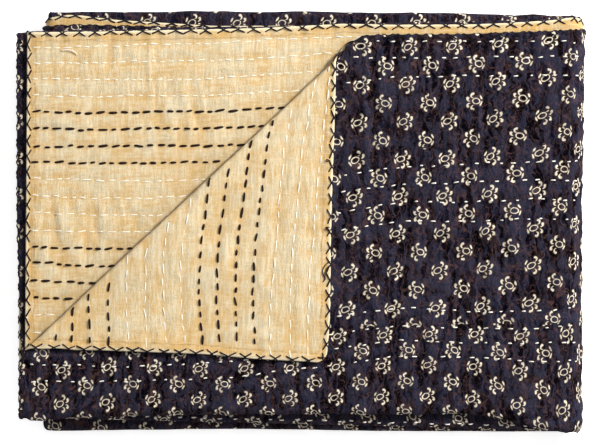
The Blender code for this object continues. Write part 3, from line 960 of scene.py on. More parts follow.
def round_reach(tree, x, y, reach):
    """Distance from a middle, counted in an ellipse's half sizes."""
    wide = reckon(tree, "POWER", reckon(tree, "DIVIDE", x, reach[0]), 2.0)
    high = reckon(tree, "POWER", reckon(tree, "DIVIDE", y, reach[1]), 2.0)
    return reckon(tree, "SQRT", reckon(tree, "ADD", wide, high))


def on_turned_axes(tree, x, y, angle):
    """The two coordinates of a place on axes turned by an angle."""
    ahead = reckon(tree, "ADD", reckon(tree, "MULTIPLY", x, math.cos(angle)),
                   reckon(tree, "MULTIPLY", y, math.sin(angle)))
    aside = reckon(tree, "SUBTRACT", reckon(tree, "MULTIPLY", y, math.cos(angle)),
                   reckon(tree, "MULTIPLY", x, math.sin(angle)))
    return ahead, aside


ring_x, ring_y = on_turned_axes(tree, x, parts[1], RING_ANGLE)
edge = reckon(tree, "MULTIPLY_ADD", round_reach(tree, ring_x, ring_y, RING_REACH), RING_SHARP,
              -RING_SHARP)
shape = reckon(tree, "SUBTRACT", reckon(tree, "ABSOLUTE", edge), RING_LINE)
leaf_x = reckon(tree, "SUBTRACT", x, LEAF_PLACE[0])
leaf_y = reckon(tree, "SUBTRACT", y, LEAF_PLACE[1])
leaf_run, leaf_off = on_turned_axes(tree, leaf_x, leaf_y, LEAF_ANGLE)
leaf = reckon(tree, "SUBTRACT", round_reach(tree, leaf_run, leaf_off, LEAF_REACH), 1.0)
shape = reckon(tree, "MINIMUM", shape, leaf)
for curl in CURLS:
    curl_x = reckon(tree, "SUBTRACT", x, curl["place"][0])
    curl_y = reckon(tree, "SUBTRACT", y, curl["place"][1])
    angle = reckon(tree, "ARCTAN2", curl_y, curl_x)
    stem, head = math.radians(curl["stem"]), math.radians(curl["head"])
    angle = reckon(tree, "MINIMUM", reckon(tree, "MAXIMUM", angle, stem), head)
    growth = (curl["thick"] - curl["thin"]) / (head - stem)
    width = reckon(tree, "MULTIPLY_ADD", angle, growth, curl["thin"] - growth * stem)
    off_x = reckon(tree, "MULTIPLY_ADD", reckon(tree, "COSINE", angle), -curl["radius"], curl_x)
    off_y = reckon(tree, "MULTIPLY_ADD", reckon(tree, "SINE", angle), -curl["radius"], curl_y)
    away = round_reach(tree, off_x, off_y, (1.0, 1.0))
    shape = reckon(tree, "MINIMUM", shape, reckon(tree, "SUBTRACT", away, width))
tree.links.new(step_between(tree, shape, 0.16, -0.2), wanted["Flower"])
tree.links.new(step_between(tree, shape, 1.1, 0.1), wanted["Stain"])

# Weave of either cotton: crossing threads with slubs, for colour, roughness and bump
weave_group, given, wanted = shader_group(
    "cotton weave",
    (("Place", "NodeSocketVector", (0.0, 0.0, 0.0)), ("Thread", "NodeSocketFloat", 0.42)),
    (("Height", "NodeSocketFloat"), ("Slub", "NodeSocketFloat")),
)
tree = weave_group
bent = put(tree, "ShaderNodeTexNoise", {"Vector": given["Place"], "Scale": 0.35, "Detail": 2.0})
bent = put(tree, "ShaderNodeVectorMath", {0: bent.outputs[1], 1: (0.8, 0.8, 0.0), 2: given["Place"]},
           operation="MULTIPLY_ADD").outputs[0]
parts = put(tree, "ShaderNodeSeparateXYZ", {0: bent}).outputs
turns = [reckon(tree, "MULTIPLY", reckon(tree, "DIVIDE", part, given["Thread"]), math.pi)
         for part in parts[:2]]
warp = reckon(tree, "ABSOLUTE", reckon(tree, "SINE", turns[0]))
weft = reckon(tree, "ABSOLUTE", reckon(tree, "SINE", turns[1]))
over = reckon(tree, "MULTIPLY", reckon(tree, "SINE", turns[0]), reckon(tree, "SINE", turns[1]))
over = step_between(tree, over, -0.2, 0.2)
threads = put(tree, "ShaderNodeMix", {0: over, 2: warp, 3: weft}, data_type="FLOAT").outputs[0]
slubs = reckon(tree, "MAXIMUM", mottle(tree, bent, 1.3, (1.0, 0.12, 1.0)),
               mottle(tree, bent, 1.3, (0.12, 1.0, 1.0)))
tree.links.new(reckon(tree, "MULTIPLY_ADD", slubs, 0.8, threads), wanted["Height"])
tree.links.new(slubs, wanted["Slub"])

INDIGO = (0.0112, 0.0102, 0.0210, 1.0)
# Deep indigo of random flecks, also the painted shade in troughs and furrows; faded indigo of blotches and
# worn ridges, also the painted highlight on ridges and wrinkle backs
BLACK_INDIGO_AND_SHADE = (0.0018, 0.0014, 0.0030, 1.0)
FADED_AND_HIGHLIGHT_INDIGO = (0.036, 0.037, 0.065, 1.0)
BROWNED_INDIGO = (0.022, 0.0145, 0.018, 1.0)
CRACKLE_BROWN = (0.120, 0.062, 0.056, 1.0)
PRINT_CREAM = (0.80, 0.72, 0.56, 1.0)
PRINT_STAIN = (0.16, 0.085, 0.055, 1.0)
printed_cotton = bpy.data.materials.new("block printed cotton")
printed_cotton.use_nodes = True
tree = printed_cotton.node_tree
shader = tree.nodes["Principled BSDF"]
place = fact(tree, "flat_place")
prints = []
for label, down, size in (("wide_cells", WIDE_ROW_PITCH, 1.07), ("strip_cells", STRIP_ROW_PITCH, 1.14)):
    inputs = {"Cells": fact(tree, label), "Down": down, "Size": size}
    prints.append(put(tree, "ShaderNodeGroup", inputs, node_tree=print_group).outputs)
on_strip = step_between(tree, fact(tree, "below_seam", "Fac"), -0.1, 0.1)
flower, stain = [put(tree, "ShaderNodeMix", {0: on_strip, 2: prints[0][label], 3: prints[1][label]},
                     data_type="FLOAT").outputs[0] for label in ("Flower", "Stain")]
weave = put(tree, "ShaderNodeGroup", {"Place": place, "Thread": 0.42}, node_tree=weave_group).outputs
clouds = mottle(tree, place, 24.0, detail=3.0)
blotches = mottle(tree, place, 5.5, (1.0, 0.45, 1.0), detail=4.0, roughness=0.65)
flecks = mottle(tree, place, 2.0, (1.0, 0.7, 1.0), detail=3.0, roughness=0.7)
grain = mottle(tree, place, 0.8, detail=2.0, roughness=0.7)
bent = put(tree, "ShaderNodeTexNoise", {"Vector": place, "Scale": 0.14, "Detail": 4.0})
bent = put(tree, "ShaderNodeVectorMath", {0: bent.outputs[1], 1: (11.0, 11.0, 0.0), 2: place},
           operation="MULTIPLY_ADD").outputs[0]
cracks = None
for size, stretch, width in ((12.0, (1.0, 0.42, 1.0), 0.032), (6.5, (1.0, 0.55, 1.0), 0.045),
                             (3.4, (1.0, 0.8, 1.0), 0.06)):
    scaled = put(tree, "ShaderNodeMapping", {"Vector": bent, "Scale": stretch}).outputs[0]
    cells = put(tree, "ShaderNodeTexVoronoi", {"Vector": scaled, "Scale": 1.0 / size},
                feature="DISTANCE_TO_EDGE").outputs[0]
    line = step_between(tree, cells, width, 0.0)
    strength = step_between(tree, mottle(tree, place, size * 1.2, detail=2.0), 0.42, 0.60)
    line = reckon(tree, "MULTIPLY", line, strength)
    cracks = line if cracks is None else reckon(tree, "MAXIMUM", cracks, line)


def ruck(tree, place, size, stretch):
    """Sharp-backed wrinkles, from 0 in the furrows to 1 along their backs."""
    noise = mottle(tree, place, size, stretch, detail=3.0, roughness=0.45)
    off = reckon(tree, "ABSOLUTE", reckon(tree, "MULTIPLY_ADD", noise, 2.0, -1.0))
    return step_between(tree, off, 0.42, 0.0)


long_rucks = ruck(tree, bent, 7.0, (1.0, 0.22, 1.0))
short_rucks = ruck(tree, bent, 4.2, (1.0, 0.6, 1.0))
raised = fact(tree, "relief", "Fac")
colour = mix_colours(tree, step_between(tree, clouds, 0.46, 0.66), INDIGO, BROWNED_INDIGO)
# Each layer of colour: what it follows, from where to where it comes in, how much, and its colour
for value, start, full, most, tint in (
        (blotches, 0.56, 0.70, 0.45, FADED_AND_HIGHLIGHT_INDIGO),
        # Painted highlight mixed with wear on the relief's ridges, and painted shade in its troughs
        (raised, 0.65, 1.25, 0.90, FADED_AND_HIGHLIGHT_INDIGO),
        (raised, -0.10, -0.60, 0.95, BLACK_INDIGO_AND_SHADE),
        # Painted shade in the wrinkles' furrows, and painted highlight mixed with wear along their backs
        (long_rucks, 0.35, 0.00, 0.80, BLACK_INDIGO_AND_SHADE),
        (long_rucks, 0.66, 0.98, 0.75, FADED_AND_HIGHLIGHT_INDIGO),
        (flecks, 0.46, 0.30, 0.75, BLACK_INDIGO_AND_SHADE),
        (flecks, 0.60, 0.75, 0.22, CRACKLE_BROWN)):
    colour = mix_colours(tree, step_between(tree, value, start, full, 0.0, most), colour, tint)
colour = mix_colours(tree, reckon(tree, "MULTIPLY", cracks, 0.75), colour, CRACKLE_BROWN)
colour = mix_colours(tree, step_between(tree, grain, 0.3, 0.6, 0.45, 0.0), colour, BLACK_INDIGO_AND_SHADE)
colour = mix_colours(tree, reckon(tree, "MULTIPLY", stain, 0.30), colour, PRINT_STAIN)
worn = step_between(tree, reckon(tree, "ADD", grain, weave["Slub"]), 0.70, 0.98, 0.45, 1.0)
colour = mix_colours(tree, reckon(tree, "MULTIPLY", flower, worn), colour, PRINT_CREAM)
tree.links.new(colour, shader.inputs["Base Color"])
tree.links.new(step_between(tree, weave["Height"], 0.0, 1.6, 0.92, 0.72), shader.inputs["Roughness"])
shader.inputs["Specular IOR Level"].default_value = 0.01
shader.inputs["Sheen Weight"].default_value = 0.002
shader.inputs["Sheen Roughness"].default_value = 0.5
bumps = reckon(tree, "MULTIPLY_ADD", long_rucks, 7.0, weave["Height"])
bumps = reckon(tree, "MULTIPLY_ADD", short_rucks, 3.0, bumps)
bump = put(tree, "ShaderNodeBump", {"Height": bumps, "Distance": 0.00022, "Strength": 1.0})
tree.links.new(bump.outputs[0], shader.inputs["Normal"])
printed_cloth.data.materials.append(printed_cotton)
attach(printed_cloth, "root")
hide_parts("printed_cloth")

# Plain cloth: undyed cotton of the same weight, the under side of the flat sheet, drawn in by the
# same rows. It shows on the turned corner and on the panel under it, and its turned-in hem
# lies flush with the printed cloth's all round.
PLAIN_STEP = 2.5
PLAIN_ROW_DEPTH = 0.65
# Spacing of the hem's crossed stitches, and how deep they draw the plain cloth in beside them
CROSS_PITCH = 12.5
SCALLOP_DEPTH = 0.9
# Puckers and level folds, as forms like the printed cloth's
PLAIN_PUCKERS = (
    {"across": (1.0, 0.0), "up": (0.0, 0.30), "size": 6.5, "seed": 21, "depth": 0.75},
    {"across": (1.0, 0.0), "up": (0.0, 0.30), "size": 3.4, "seed": 22, "depth": 0.50},
)
PLAIN_FOLDS = (
    {"across": (0.25, 0.0), "up": (0.0, 1.0), "size": 8.0, "seed": 23, "depth": 0.3},
    {"across": (1.0, 0.0), "up": (0.0, 1.0), "size": 30.0, "seed": 24, "depth": 0.4},
)

# Creases of the plain cloth in the same way, on the panel under the turned corner
INNER_CREASES = (
    (-117.0, 137.0, -118.5, 106.0, 1.6, -1.3),
    (-118.5, 110.0, -117.0, 90.0, 1.4, -0.9),
    (-147.0, 136.0, -150.0, 120.0, 2.2, 0.5),
    (-216.0, 98.0, -203.0, 80.0, 2.2, 0.6),
    (-198.0, 86.0, -194.0, 62.0, 2.6, 0.6),
    (-168.0, 82.0, -166.0, 60.0, 2.2, -0.5),
    (-152.0, 112.0, -133.0, 126.0, 2.0, 0.5),
    (-138.0, 90.0, -137.0, 60.0, 1.8, 0.7),
    (-128.0, 88.0, -128.5, 50.0, 1.8, -0.7),
    (-110.0, 90.0, -109.0, 46.0, 2.0, 0.6),
    (-101.0, 84.0, -101.0, 44.0, 1.8, -0.6),
    (-93.0, 92.0, -92.0, 60.0, 2.0, 0.7),
    (-84.0, 84.0, -85.0, 58.0, 1.6, -0.6),
    (-74.0, 78.0, -72.0, 46.0, 2.0, 0.5),
    (-194.0, 8.0, -188.0, -40.0, 3.0, 0.7),
    (-163.0, 18.0, -160.0, -20.0, 2.6, 0.6),
    (-176.0, 20.0, -173.0, -30.0, 2.2, -0.5),
)


def scallops(run, inside):
    """Small puckers that the hem stitches draw just inside a hem, from 0 to 1."""
    off = np.abs(run / CROSS_PITCH - np.round(run / CROSS_PITCH)) * 2
    return (1 - smooth(off * 1.6)) * smooth((inside - 0.5) / 2.0) * smooth((9.0 - inside) / 5.0)


def plain_relief(places):
    """How far the plain cloth stands out from its even height, on the flat sheet."""
    along, level = places[:, 0], places[:, 1]
    past = past_slant(places)
    in_corner = smooth((COLUMN_FOLD_2 - along) / 6.0) * smooth((level - ROW_FOLD_2) / 6.0)
    on_flap = in_corner * smooth((past - CORNER_TURN.length * 0.4) / 4.0)
    seen = places - np.outer(2 * past - CORNER_TURN.length, SLANT_OUT)
    flap_across, flap_height = seen[:, 0], wander(seen[:, 0], seen[:, 1])
    inner_level = down_sheet(4, level)
    inner_height = wander(along, inner_level)
    inner_past = past_slant(np.column_stack((along, inner_level)))
    last_panel = smooth((COLUMN_FOLD_2 - along) / 6.0) * smooth((down_sheet(4, ROW_FOLD_2) - level) / 6.0)
    on_inner = last_panel * smooth((inner_past - 1.0) / 7.0)

    flap_rows = row_number(FLAP_ROWS, FLAP_PLACES, flap_height, flap_across)
    inner_rows = row_number(INNER_ROWS, INNER_PLACES, along, inner_height)
    drawn = on_flap * drawn_in(flap_rows) + on_inner * drawn_in(inner_rows)
    across = np.where(on_flap > 0, flap_across, along)
    height = np.where(on_flap > 0, flap_height, inner_height)
    upright, fine = [leaning_patches(across, height, form) for form in PLAIN_PUCKERS]
    open_side = np.maximum(on_flap, on_inner)
    relief = -PLAIN_ROW_DEPTH * drawn * (0.8 + 0.4 * patches(across, height, 7.0, 25))
    ruffled = 0.7 + 0.6 * patches(across, height, 45.0, 26)
    ruffled = ruffled * relief_of(PLAIN_PUCKERS, across, height)
    relief += open_side * (ruffled + relief_of(PLAIN_FOLDS, across, height))
    relief += on_inner * crease_relief(INNER_CREASES, along, inner_height)
    relief += (1 - open_side) * 0.08 * (upright + fine)
    inside = hem_distance(along, level)
    run = np.where(along - LEFT_EDGE < 40.0, np.where(np.abs(level) < 100.0, level, along), along)
    pulls = open_side * scallops(run, inside)
    hem = 0.28 * smooth((HEM_FOLD + 1.0 - inside) / 2.0) - SCALLOP_DEPTH * pulls
    fold_line = HEM_FOLD + 1.1 * patches(along, level, 10.0, 27)
    hem = hem - HEM_FOLD_DEPTH * np.exp(-((inside - fold_line) / HEM_FOLD_WIDTH) ** 2)
    return relief * (0.35 + 0.65 * smooth(inside / 9.0)) + hem * (0.25 + 0.75 * open_side)


grid_along, grid_level = sheet_grid(PLAIN_STEP, 116, 116, 8)
sheet = np.column_stack((grid_along.ravel(), grid_level.ravel()))
relief = plain_relief(sheet)
past = past_slant(sheet)
corner = (past > 0) & (sheet[:, 0] < COLUMN_FOLD_2) & (sheet[:, 1] > ROW_FOLD_2)
under_past = past_slant(np.column_stack((sheet[:, 0], down_sheet(4, sheet[:, 1]))))
seen = np.where(corner[:, None], sheet - np.outer(2 * past - CORNER_TURN.length, SLANT_OUT), sheet)
plain_cloth = cloth_object(
    "PlainCloth",
    fold(sheet, rim_height(sheet, 0.0, -relief)),
    grid_triangles(*grid_along.shape),
    {
        "flat_place": np.column_stack((sheet, np.zeros(len(sheet)))),
        "seen_place": np.column_stack((seen, np.zeros(len(seen)))),
        "relief": relief,
        "inside_hem": hem_distance(sheet[:, 0], sheet[:, 1]),
        "beside_slant": np.where(sheet[:, 1] < down_sheet(4, ROW_FOLD_2), under_past, 100.0),
    },
)

# Pale cream serves for random streaks and slubs and as painted highlight; gold for random golden patches
# and as painted shade
CREAM = (0.74, 0.56, 0.31, 1.0)
PALE_CREAM_AND_HIGHLIGHT = (0.86, 0.74, 0.51, 1.0)
GOLD_AND_SHADE = (0.70, 0.42, 0.13, 1.0)
GREYED_CREAM = (0.53, 0.44, 0.29, 1.0)
HEM_BROWN = (0.50, 0.29, 0.09, 1.0)
# Tan mixed with painted shade, for beside the slanted fold
TAN_AND_SHADE = (0.50, 0.33, 0.13, 1.0)
plain_cotton = bpy.data.materials.new("undyed cotton")
plain_cotton.use_nodes = True
tree = plain_cotton.node_tree
shader = tree.nodes["Principled BSDF"]
place = fact(tree, "flat_place")
lying = fact(tree, "seen_place")
raised = fact(tree, "relief", "Fac")
weave = put(tree, "ShaderNodeGroup", {"Place": place, "Thread": 0.45}, node_tree=weave_group).outputs
blotches = mottle(tree, lying, 17.0, (0.8, 1.2, 1.0), detail=4.0, roughness=0.6)
streaks = mottle(tree, lying, 2.6, (1.0, 0.14, 1.0), detail=3.0, roughness=0.65)
bars = mottle(tree, place, 3.0, (0.12, 1.0, 1.0), detail=3.0, roughness=0.65)
speckle = mottle(tree, lying, 2.2, (1.0, 0.8, 1.0), detail=4.0, roughness=0.75)
colour = mix_colours(tree, step_between(tree, streaks, 0.40, 0.64), CREAM, PALE_CREAM_AND_HIGHLIGHT)
golden = reckon(tree, "MULTIPLY", step_between(tree, blotches, 0.42, 0.62),
                step_between(tree, bars, 0.36, 0.60, 0.25, 1.0))
colour = mix_colours(tree, reckon(tree, "MULTIPLY", golden, 0.72), colour, GOLD_AND_SHADE)
greyed = reckon(tree, "MULTIPLY", step_between(tree, blotches, 0.52, 0.38),
                step_between(tree, bars, 0.60, 0.40, 0.2, 1.0))
colour = mix_colours(tree, reckon(tree, "MULTIPLY", greyed, 0.42), colour, GREYED_CREAM)
for value, start, full, most, tint in (
        (speckle, 0.53, 0.66, 0.50, GREYED_CREAM),
        (speckle, 0.46, 0.33, 0.50, GOLD_AND_SHADE),
        # Painted shade in the relief's hollows and painted highlight on what stands out
        (raised, -0.15, -0.90, 0.55, GOLD_AND_SHADE),
        (raised, 0.25, 0.90, 0.45, PALE_CREAM_AND_HIGHLIGHT)):
    colour = mix_colours(tree, step_between(tree, value, start, full, 0.0, most), colour, tint)
# Painted shade with some tan beside the slanted fold, where the turned corner overhangs
shade_and_tan = step_between(tree, fact(tree, "beside_slant", "Fac"), 26.0, -2.0, 0.0, 0.62)
shade_and_tan = reckon(tree, "MULTIPLY", shade_and_tan, step_between(tree, blotches, 0.3, 0.6, 0.55, 1.0))
colour = mix_colours(tree, shade_and_tan, colour, TAN_AND_SHADE)
inside_hem = fact(tree, "inside_hem", "Fac")
edge = reckon(tree, "MULTIPLY", step_between(tree, inside_hem, 11.0, 5.0),
              step_between(tree, inside_hem, 1.2, 3.0))
edge = reckon(tree, "MULTIPLY", edge, step_between(tree, blotches, 0.35, 0.6, 0.3, 0.8))
colour = mix_colours(tree, edge, colour, GOLD_AND_SHADE)
wavy = reckon(tree, "MULTIPLY_ADD", mottle(tree, place, 9.0, detail=2.0), 4.5, inside_hem)
fold_mark = reckon(tree, "MULTIPLY", step_between(tree, wavy, 10.2, 9.4),
                   step_between(tree, wavy, 8.2, 9.0))
fold_mark = reckon(tree, "MULTIPLY", fold_mark, step_between(tree, bars, 0.35, 0.6, 0.15, 0.8))
colour = mix_colours(tree, fold_mark, colour, HEM_BROWN)
# Painted highlight along the rounded rim of the hem
colour = mix_colours(tree, step_between(tree, inside_hem, 2.2, 0.8, 0.0, 0.7), colour, PALE_CREAM_AND_HIGHLIGHT)
colour = mix_colours(tree, step_between(tree, weave["Slub"], 0.5, 0.7, 0.0, 0.4), colour, PALE_CREAM_AND_HIGHLIGHT)
tree.links.new(colour, shader.inputs["Base Color"])
tree.links.new(step_between(tree, weave["Height"], 0.0, 1.6, 0.92, 0.74), shader.inputs["Roughness"])
shader.inputs["Specular IOR Level"].default_value = 0.2
shader.inputs["Sheen Weight"].default_value = 0.05
shader.inputs["Sheen Roughness"].default_value = 0.5
bumps = reckon(tree, "MULTIPLY_ADD", streaks, 3.0, weave["Height"])
bumps = reckon(tree, "MULTIPLY_ADD", speckle, 1.5, bumps)
bump = put(tree, "ShaderNodeBump", {"Height": bumps, "Distance": 0.00020, "Strength": 1.0})
tree.links.new(bump.outputs[0], shader.inputs["Normal"])
plain_cloth.data.materials.append(plain_cotton)
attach(plain_cloth, "root")
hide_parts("plain_cloth")

# Running stitches: thick cotton thread by hand through both cloths, four off-white rows and then
# four dark brown ones. Each stitch lies on the cloth and dips in at both ends; they are long on
# the plain side and short on the printed side.
STITCH_RINGS = 7
THREAD_SIDES = 6
# side: length, gap and half thickness of its stitches
STITCH_SIZES = {
    "top": (3.4, 6.6, 0.50),
    "inner": (5.9, 3.0, 0.95),
    "inner pale": (6.4, 2.0, 0.42),
    "flap": (6.6, 4.4, 0.90),
    "flap pale": (8.8, 2.8, 0.43),
}
EDGE_CLEAR = 5.0
FLAP_RUN = (-108.0, 130.0)
STITCH_DIP = 0.55


def is_pale(row):
    """Off-white rows come in fours, and so do brown ones."""
    return row // 4 % 2 == 0


def tubes(centres, normals, radii):
    """Closed threads: centres and normals by thread and ring, half thickness by ring."""
    count, rings = centres.shape[:2]
    ahead = np.gradient(centres, axis=1)
    ahead /= np.linalg.norm(ahead, axis=2, keepdims=True)
    aside = np.cross(ahead, normals)
    aside /= np.linalg.norm(aside, axis=2, keepdims=True)
    up = np.cross(aside, ahead)
    turn = np.arange(THREAD_SIDES) * 2 * math.pi / THREAD_SIDES
    ring = (np.cos(turn)[:, None] * aside[:, :, None, :] + np.sin(turn)[:, None] * up[:, :, None, :])
    points = centres[:, :, None, :] + ring * radii[:, :, None, None]
    points[..., 2] = np.maximum(points[..., 2], 0.0)
    first = np.arange(count)[:, None, None] * rings * THREAD_SIDES
    at = first + np.arange(rings - 1)[None, :, None] * THREAD_SIDES
    here = np.arange(THREAD_SIDES)[None, None, :]
    after = (here + 1) % THREAD_SIDES
    quads = np.stack((at + here, at + after, at + after + THREAD_SIDES, at + here + THREAD_SIDES), axis=-1)
    ends = [first[:, :, 0] + np.arange(THREAD_SIDES)[::-1],
            first[:, :, 0] + (rings - 1) * THREAD_SIDES + np.arange(THREAD_SIDES)]
    faces = quads.reshape(-1, 4).tolist() + np.concatenate(ends).tolist()
    run = np.cumsum(np.linalg.norm(np.diff(centres, axis=1, prepend=centres[:, :1]), axis=2), axis=1)
    twist = np.stack(np.broadcast_arrays(run[:, :, None] / MM, turn[None, None, :],
                                         np.arange(count)[:, None, None]), axis=-1)
    return points.reshape(-1, 3), faces, twist.reshape(-1, 3)


def thread_object(name, batches, material):
    """One joined mesh of many threads."""
    points, faces, twists, start = [], [], [], 0
    for centres, normals, radii in batches:
        some_points, some_faces, some_twists = tubes(centres, normals, radii)
        points.append(some_points)
        faces += [[corner + start for corner in face] for face in some_faces]
        twists.append(some_twists)
        start += len(some_points)
    mesh = bpy.data.meshes.new(name)
    mesh.from_pydata(np.concatenate(points).tolist(), [], faces)
    layer = mesh.attributes.new("twist", "FLOAT_VECTOR", "POINT")
    layer.data.foreach_set("vector", np.concatenate(twists).astype(np.float32).ravel())
    mesh.shade_smooth()
    mesh.materials.append(material)
    made = bpy.data.objects.new(name, mesh)
    bpy.context.scene.collection.objects.link(made)
    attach(made, "root")
    return made


def on_cloth(places, printed, lift):
    """Points and outward normals at a lift above a cloth's outer face."""
    if printed:
        even, relief, out = PRINTED_HEIGHT, printed_relief(places), 1.0
    else:
        even, relief, out = 0.0, -plain_relief(places), -1.0
    height = rim_height(places, even, relief)
    points = fold(places, height + out * lift)
    higher = fold(places, height + out * (lift + 0.2))
    normals = higher - points
    return points, normals / np.linalg.norm(normals, axis=1, keepdims=True)


def stitch_batch(seen_rows, flatten, printed, radius, seed):
    """Stitches as threads; seen_rows holds for each stitch its two ends as seen."""
    ends = np.array(seen_rows)
    part = np.linspace(0.0, 1.0, STITCH_RINGS)
    middle = ends[:, :1, :] + part[None, :, None] * (ends[:, 1:, :] - ends[:, :1, :])
    flat = flatten(middle.reshape(-1, 2))
    arch = np.sin(math.pi * part) ** 0.45
    lift = np.tile(-STITCH_DIP + (STITCH_DIP + radius * 0.75) * arch, len(ends))
    points, normals = on_cloth(flat, printed, lift)
    chance = np.random.default_rng(seed).uniform(0.85, 1.15, (len(ends), 1))
    radii = radius * MM * (0.62 + 0.38 * arch)[None, :] * chance
    shape = (len(ends), STITCH_RINGS, 3)
    return points.reshape(shape), normals.reshape(shape), radii


def run_of_stitches(line, start, end, size, seed, slant=0.05):
    """The ends of one row's stitches along a line that gives one place for each other place."""
    chance = np.random.default_rng(seed)
    length, gap, radius = size
    stitches, at = [], start + chance.uniform(0.0, gap)
    while at < end:
        long = length * chance.uniform(0.6, 1.3)
        lean, off = chance.normal(slant, 0.08), chance.normal(0.0, 0.35)
        middle = at + long / 2
        side = line(middle) + off
        slope = (line(middle + 3.0) - line(middle - 3.0)) / 6.0 + lean
        stitches.append(((at, side - slope * long / 2), (at + long, side + slope * long / 2)))
        at += long + gap * chance.uniform(0.7, 1.35)
    return stitches


def under_flap(place):
    """Whether a place seen on the top panel lies under the turned corner."""
    side = np.interp(place[1], [p[1] for p in FLAP_SIDE_HEM[::-1]], [p[0] for p in FLAP_SIDE_HEM[::-1]])
    foot = np.interp(place[0], [p[0] for p in FLAP_FOOT_HEM[::-1]], [p[1] for p in FLAP_FOOT_HEM[::-1]])
    return place[0] < side + 1.0 and place[1] > foot - 1.0


def top_stitches(row, line_values, size):
    """One row on the printed top panel."""
    def line(place):
        return np.interp(place, ROW_PLACES, line_values)
    found = run_of_stitches(line, LEFT_EDGE + EDGE_CLEAR, RIGHT_EDGE - 3.0, size, 100 + row)
    seen = []
    for stitch in found:
        place = np.mean(stitch, axis=0)
        flat = top_panel(place)
        inside = hem_distance(flat[:, 0], flat[:, 1])[0] > 3.0
        if inside and past_slant(flat)[0] < -4.0 and not under_flap(place) and flat[0, 1] > ROW_FOLD_2:
            seen.append(stitch)
    return seen


def inner_stitches(row, line_values, size):
    """One row on the plain panel under the turned corner."""
    def line(place):
        return np.interp(place, INNER_PLACES, line_values)
    found = run_of_stitches(line, INNER_HEM_LEFT + 2.5, RIGHT_EDGE, size, 200 + row)
    keep = []
    for stitch in found:
        flat = top_panel(np.array(stitch))
        hem = hem_distance(*inner_panel(np.array(stitch)).T)
        if past_slant(flat).min() > 0.5 and hem.min() > 1.6:
            keep.append(stitch)
    return keep


def flap_stitches(row, line_values, size):
    """One row on the turned corner, up and down it."""
    def line(place):
        return np.interp(place, FLAP_PLACES, line_values)
    found = run_of_stitches(line, *FLAP_RUN, size, 300 + row, slant=0.0)
    keep = []
    for stitch in found:
        turned = np.array(stitch)[:, ::-1]
        flat = turned_corner(turned)
        if past_slant(flat).min() > CORNER_TURN.length * 0.62 and hem_distance(*flat.T).min() > 1.0:
            keep.append(turned)
    return keep


def filled_rows(table):
    """The charted rows with the rows between them, spread evenly."""
    rows = {}
    for (first, *start), (second, *end) in zip(table, table[1:]):
        for row in range(first, second + 1):
            part = (row - first) / (second - first)
            rows[row] = [a + part * (b - a) for a, b in zip(start, end)]
    return rows


# The row that shows below the top panel's lower edge, on the next column down: across, height
LOWER_ROW = (
    (-150.0, -152.6),
    (-114.0, -153.2),
    (-79.0, -154.2),
    (-12.0, -155.6),
    (23.0, -156.6),
    (86.0, -158.2),
    (137.0, -159.4),
    (205.0, -161.0),
)


def lower_column(places):
    """Places on the flat sheet of places seen just below the top panel, on the next column down."""
    places = np.atleast_2d(places)
    along = along_strip("d", places[:, 0])
    return np.column_stack((along, down_sheet(2, straighten(along, places[:, 1]))))


def lower_line(place):
    """The height of the row that shows below the top panel."""
    return np.interp(place, *zip(*LOWER_ROW))


# Each panel that shows: its rows, how its stitches are run and laid flat, the kinds of its pale
# and brown stitches, and how many of a group's four rows come before its first row
PANELS = (
    {"rows": TOP_ROWS, "run": top_stitches, "flatten": top_panel, "printed": True,
     "pale": "top", "brown": "top", "rows before": 1, "seed": 400},
    {"rows": INNER_ROWS, "run": inner_stitches, "flatten": inner_panel, "printed": False,
     "pale": "inner pale", "brown": "inner", "rows before": 0, "seed": 500},
    {"rows": FLAP_ROWS, "run": flap_stitches, "flatten": turned_corner, "printed": False,
     "pale": "flap pale", "brown": "flap", "rows before": 1, "seed": 600},
)
found = run_of_stitches(lower_line, LOWER_ROW[0][0], LOWER_ROW[-1][0], STITCH_SIZES["top"], 399)
batches = {"pale": [stitch_batch(found, lower_column, True, STITCH_SIZES["top"][2], 699)], "brown": []}
for panel in PANELS:
    for row, values in filled_rows(panel["rows"]).items():
        thread = "pale" if is_pale(row + panel["rows before"]) else "brown"
        size = STITCH_SIZES[panel[thread]]
        found = panel["run"](row, values, size)
        if found:
            batches[thread].append(stitch_batch(found, panel["flatten"], panel["printed"], size[2],
                                                panel["seed"] + row))

# Twist of the plies, shared by the three threads
twist_group, given, wanted = shader_group(
    "thread twist",
    (("Along", "NodeSocketVector", (0.0, 0.0, 0.0)), ("Pitch", "NodeSocketFloat", 1.3)),
    (("Height", "NodeSocketFloat"), ("Fuzz", "NodeSocketFloat")),
)
tree = twist_group
parts = put(tree, "ShaderNodeSeparateXYZ", {0: given["Along"]}).outputs
phase = reckon(tree, "DIVIDE", parts[0], given["Pitch"])
phase = reckon(tree, "MULTIPLY_ADD", phase, 2 * math.pi, reckon(tree, "MULTIPLY", parts[1], 2.0))
ply = reckon(tree, "ABSOLUTE", reckon(tree, "SINE", reckon(tree, "MULTIPLY", phase, 0.5)))
fuzz = put(tree, "ShaderNodeTexNoise", {"Vector": given["Along"], "Scale": 3.0, "Detail": 2.0})
tree.links.new(ply, wanted["Height"])
tree.links.new(fuzz.outputs[0], wanted["Fuzz"])


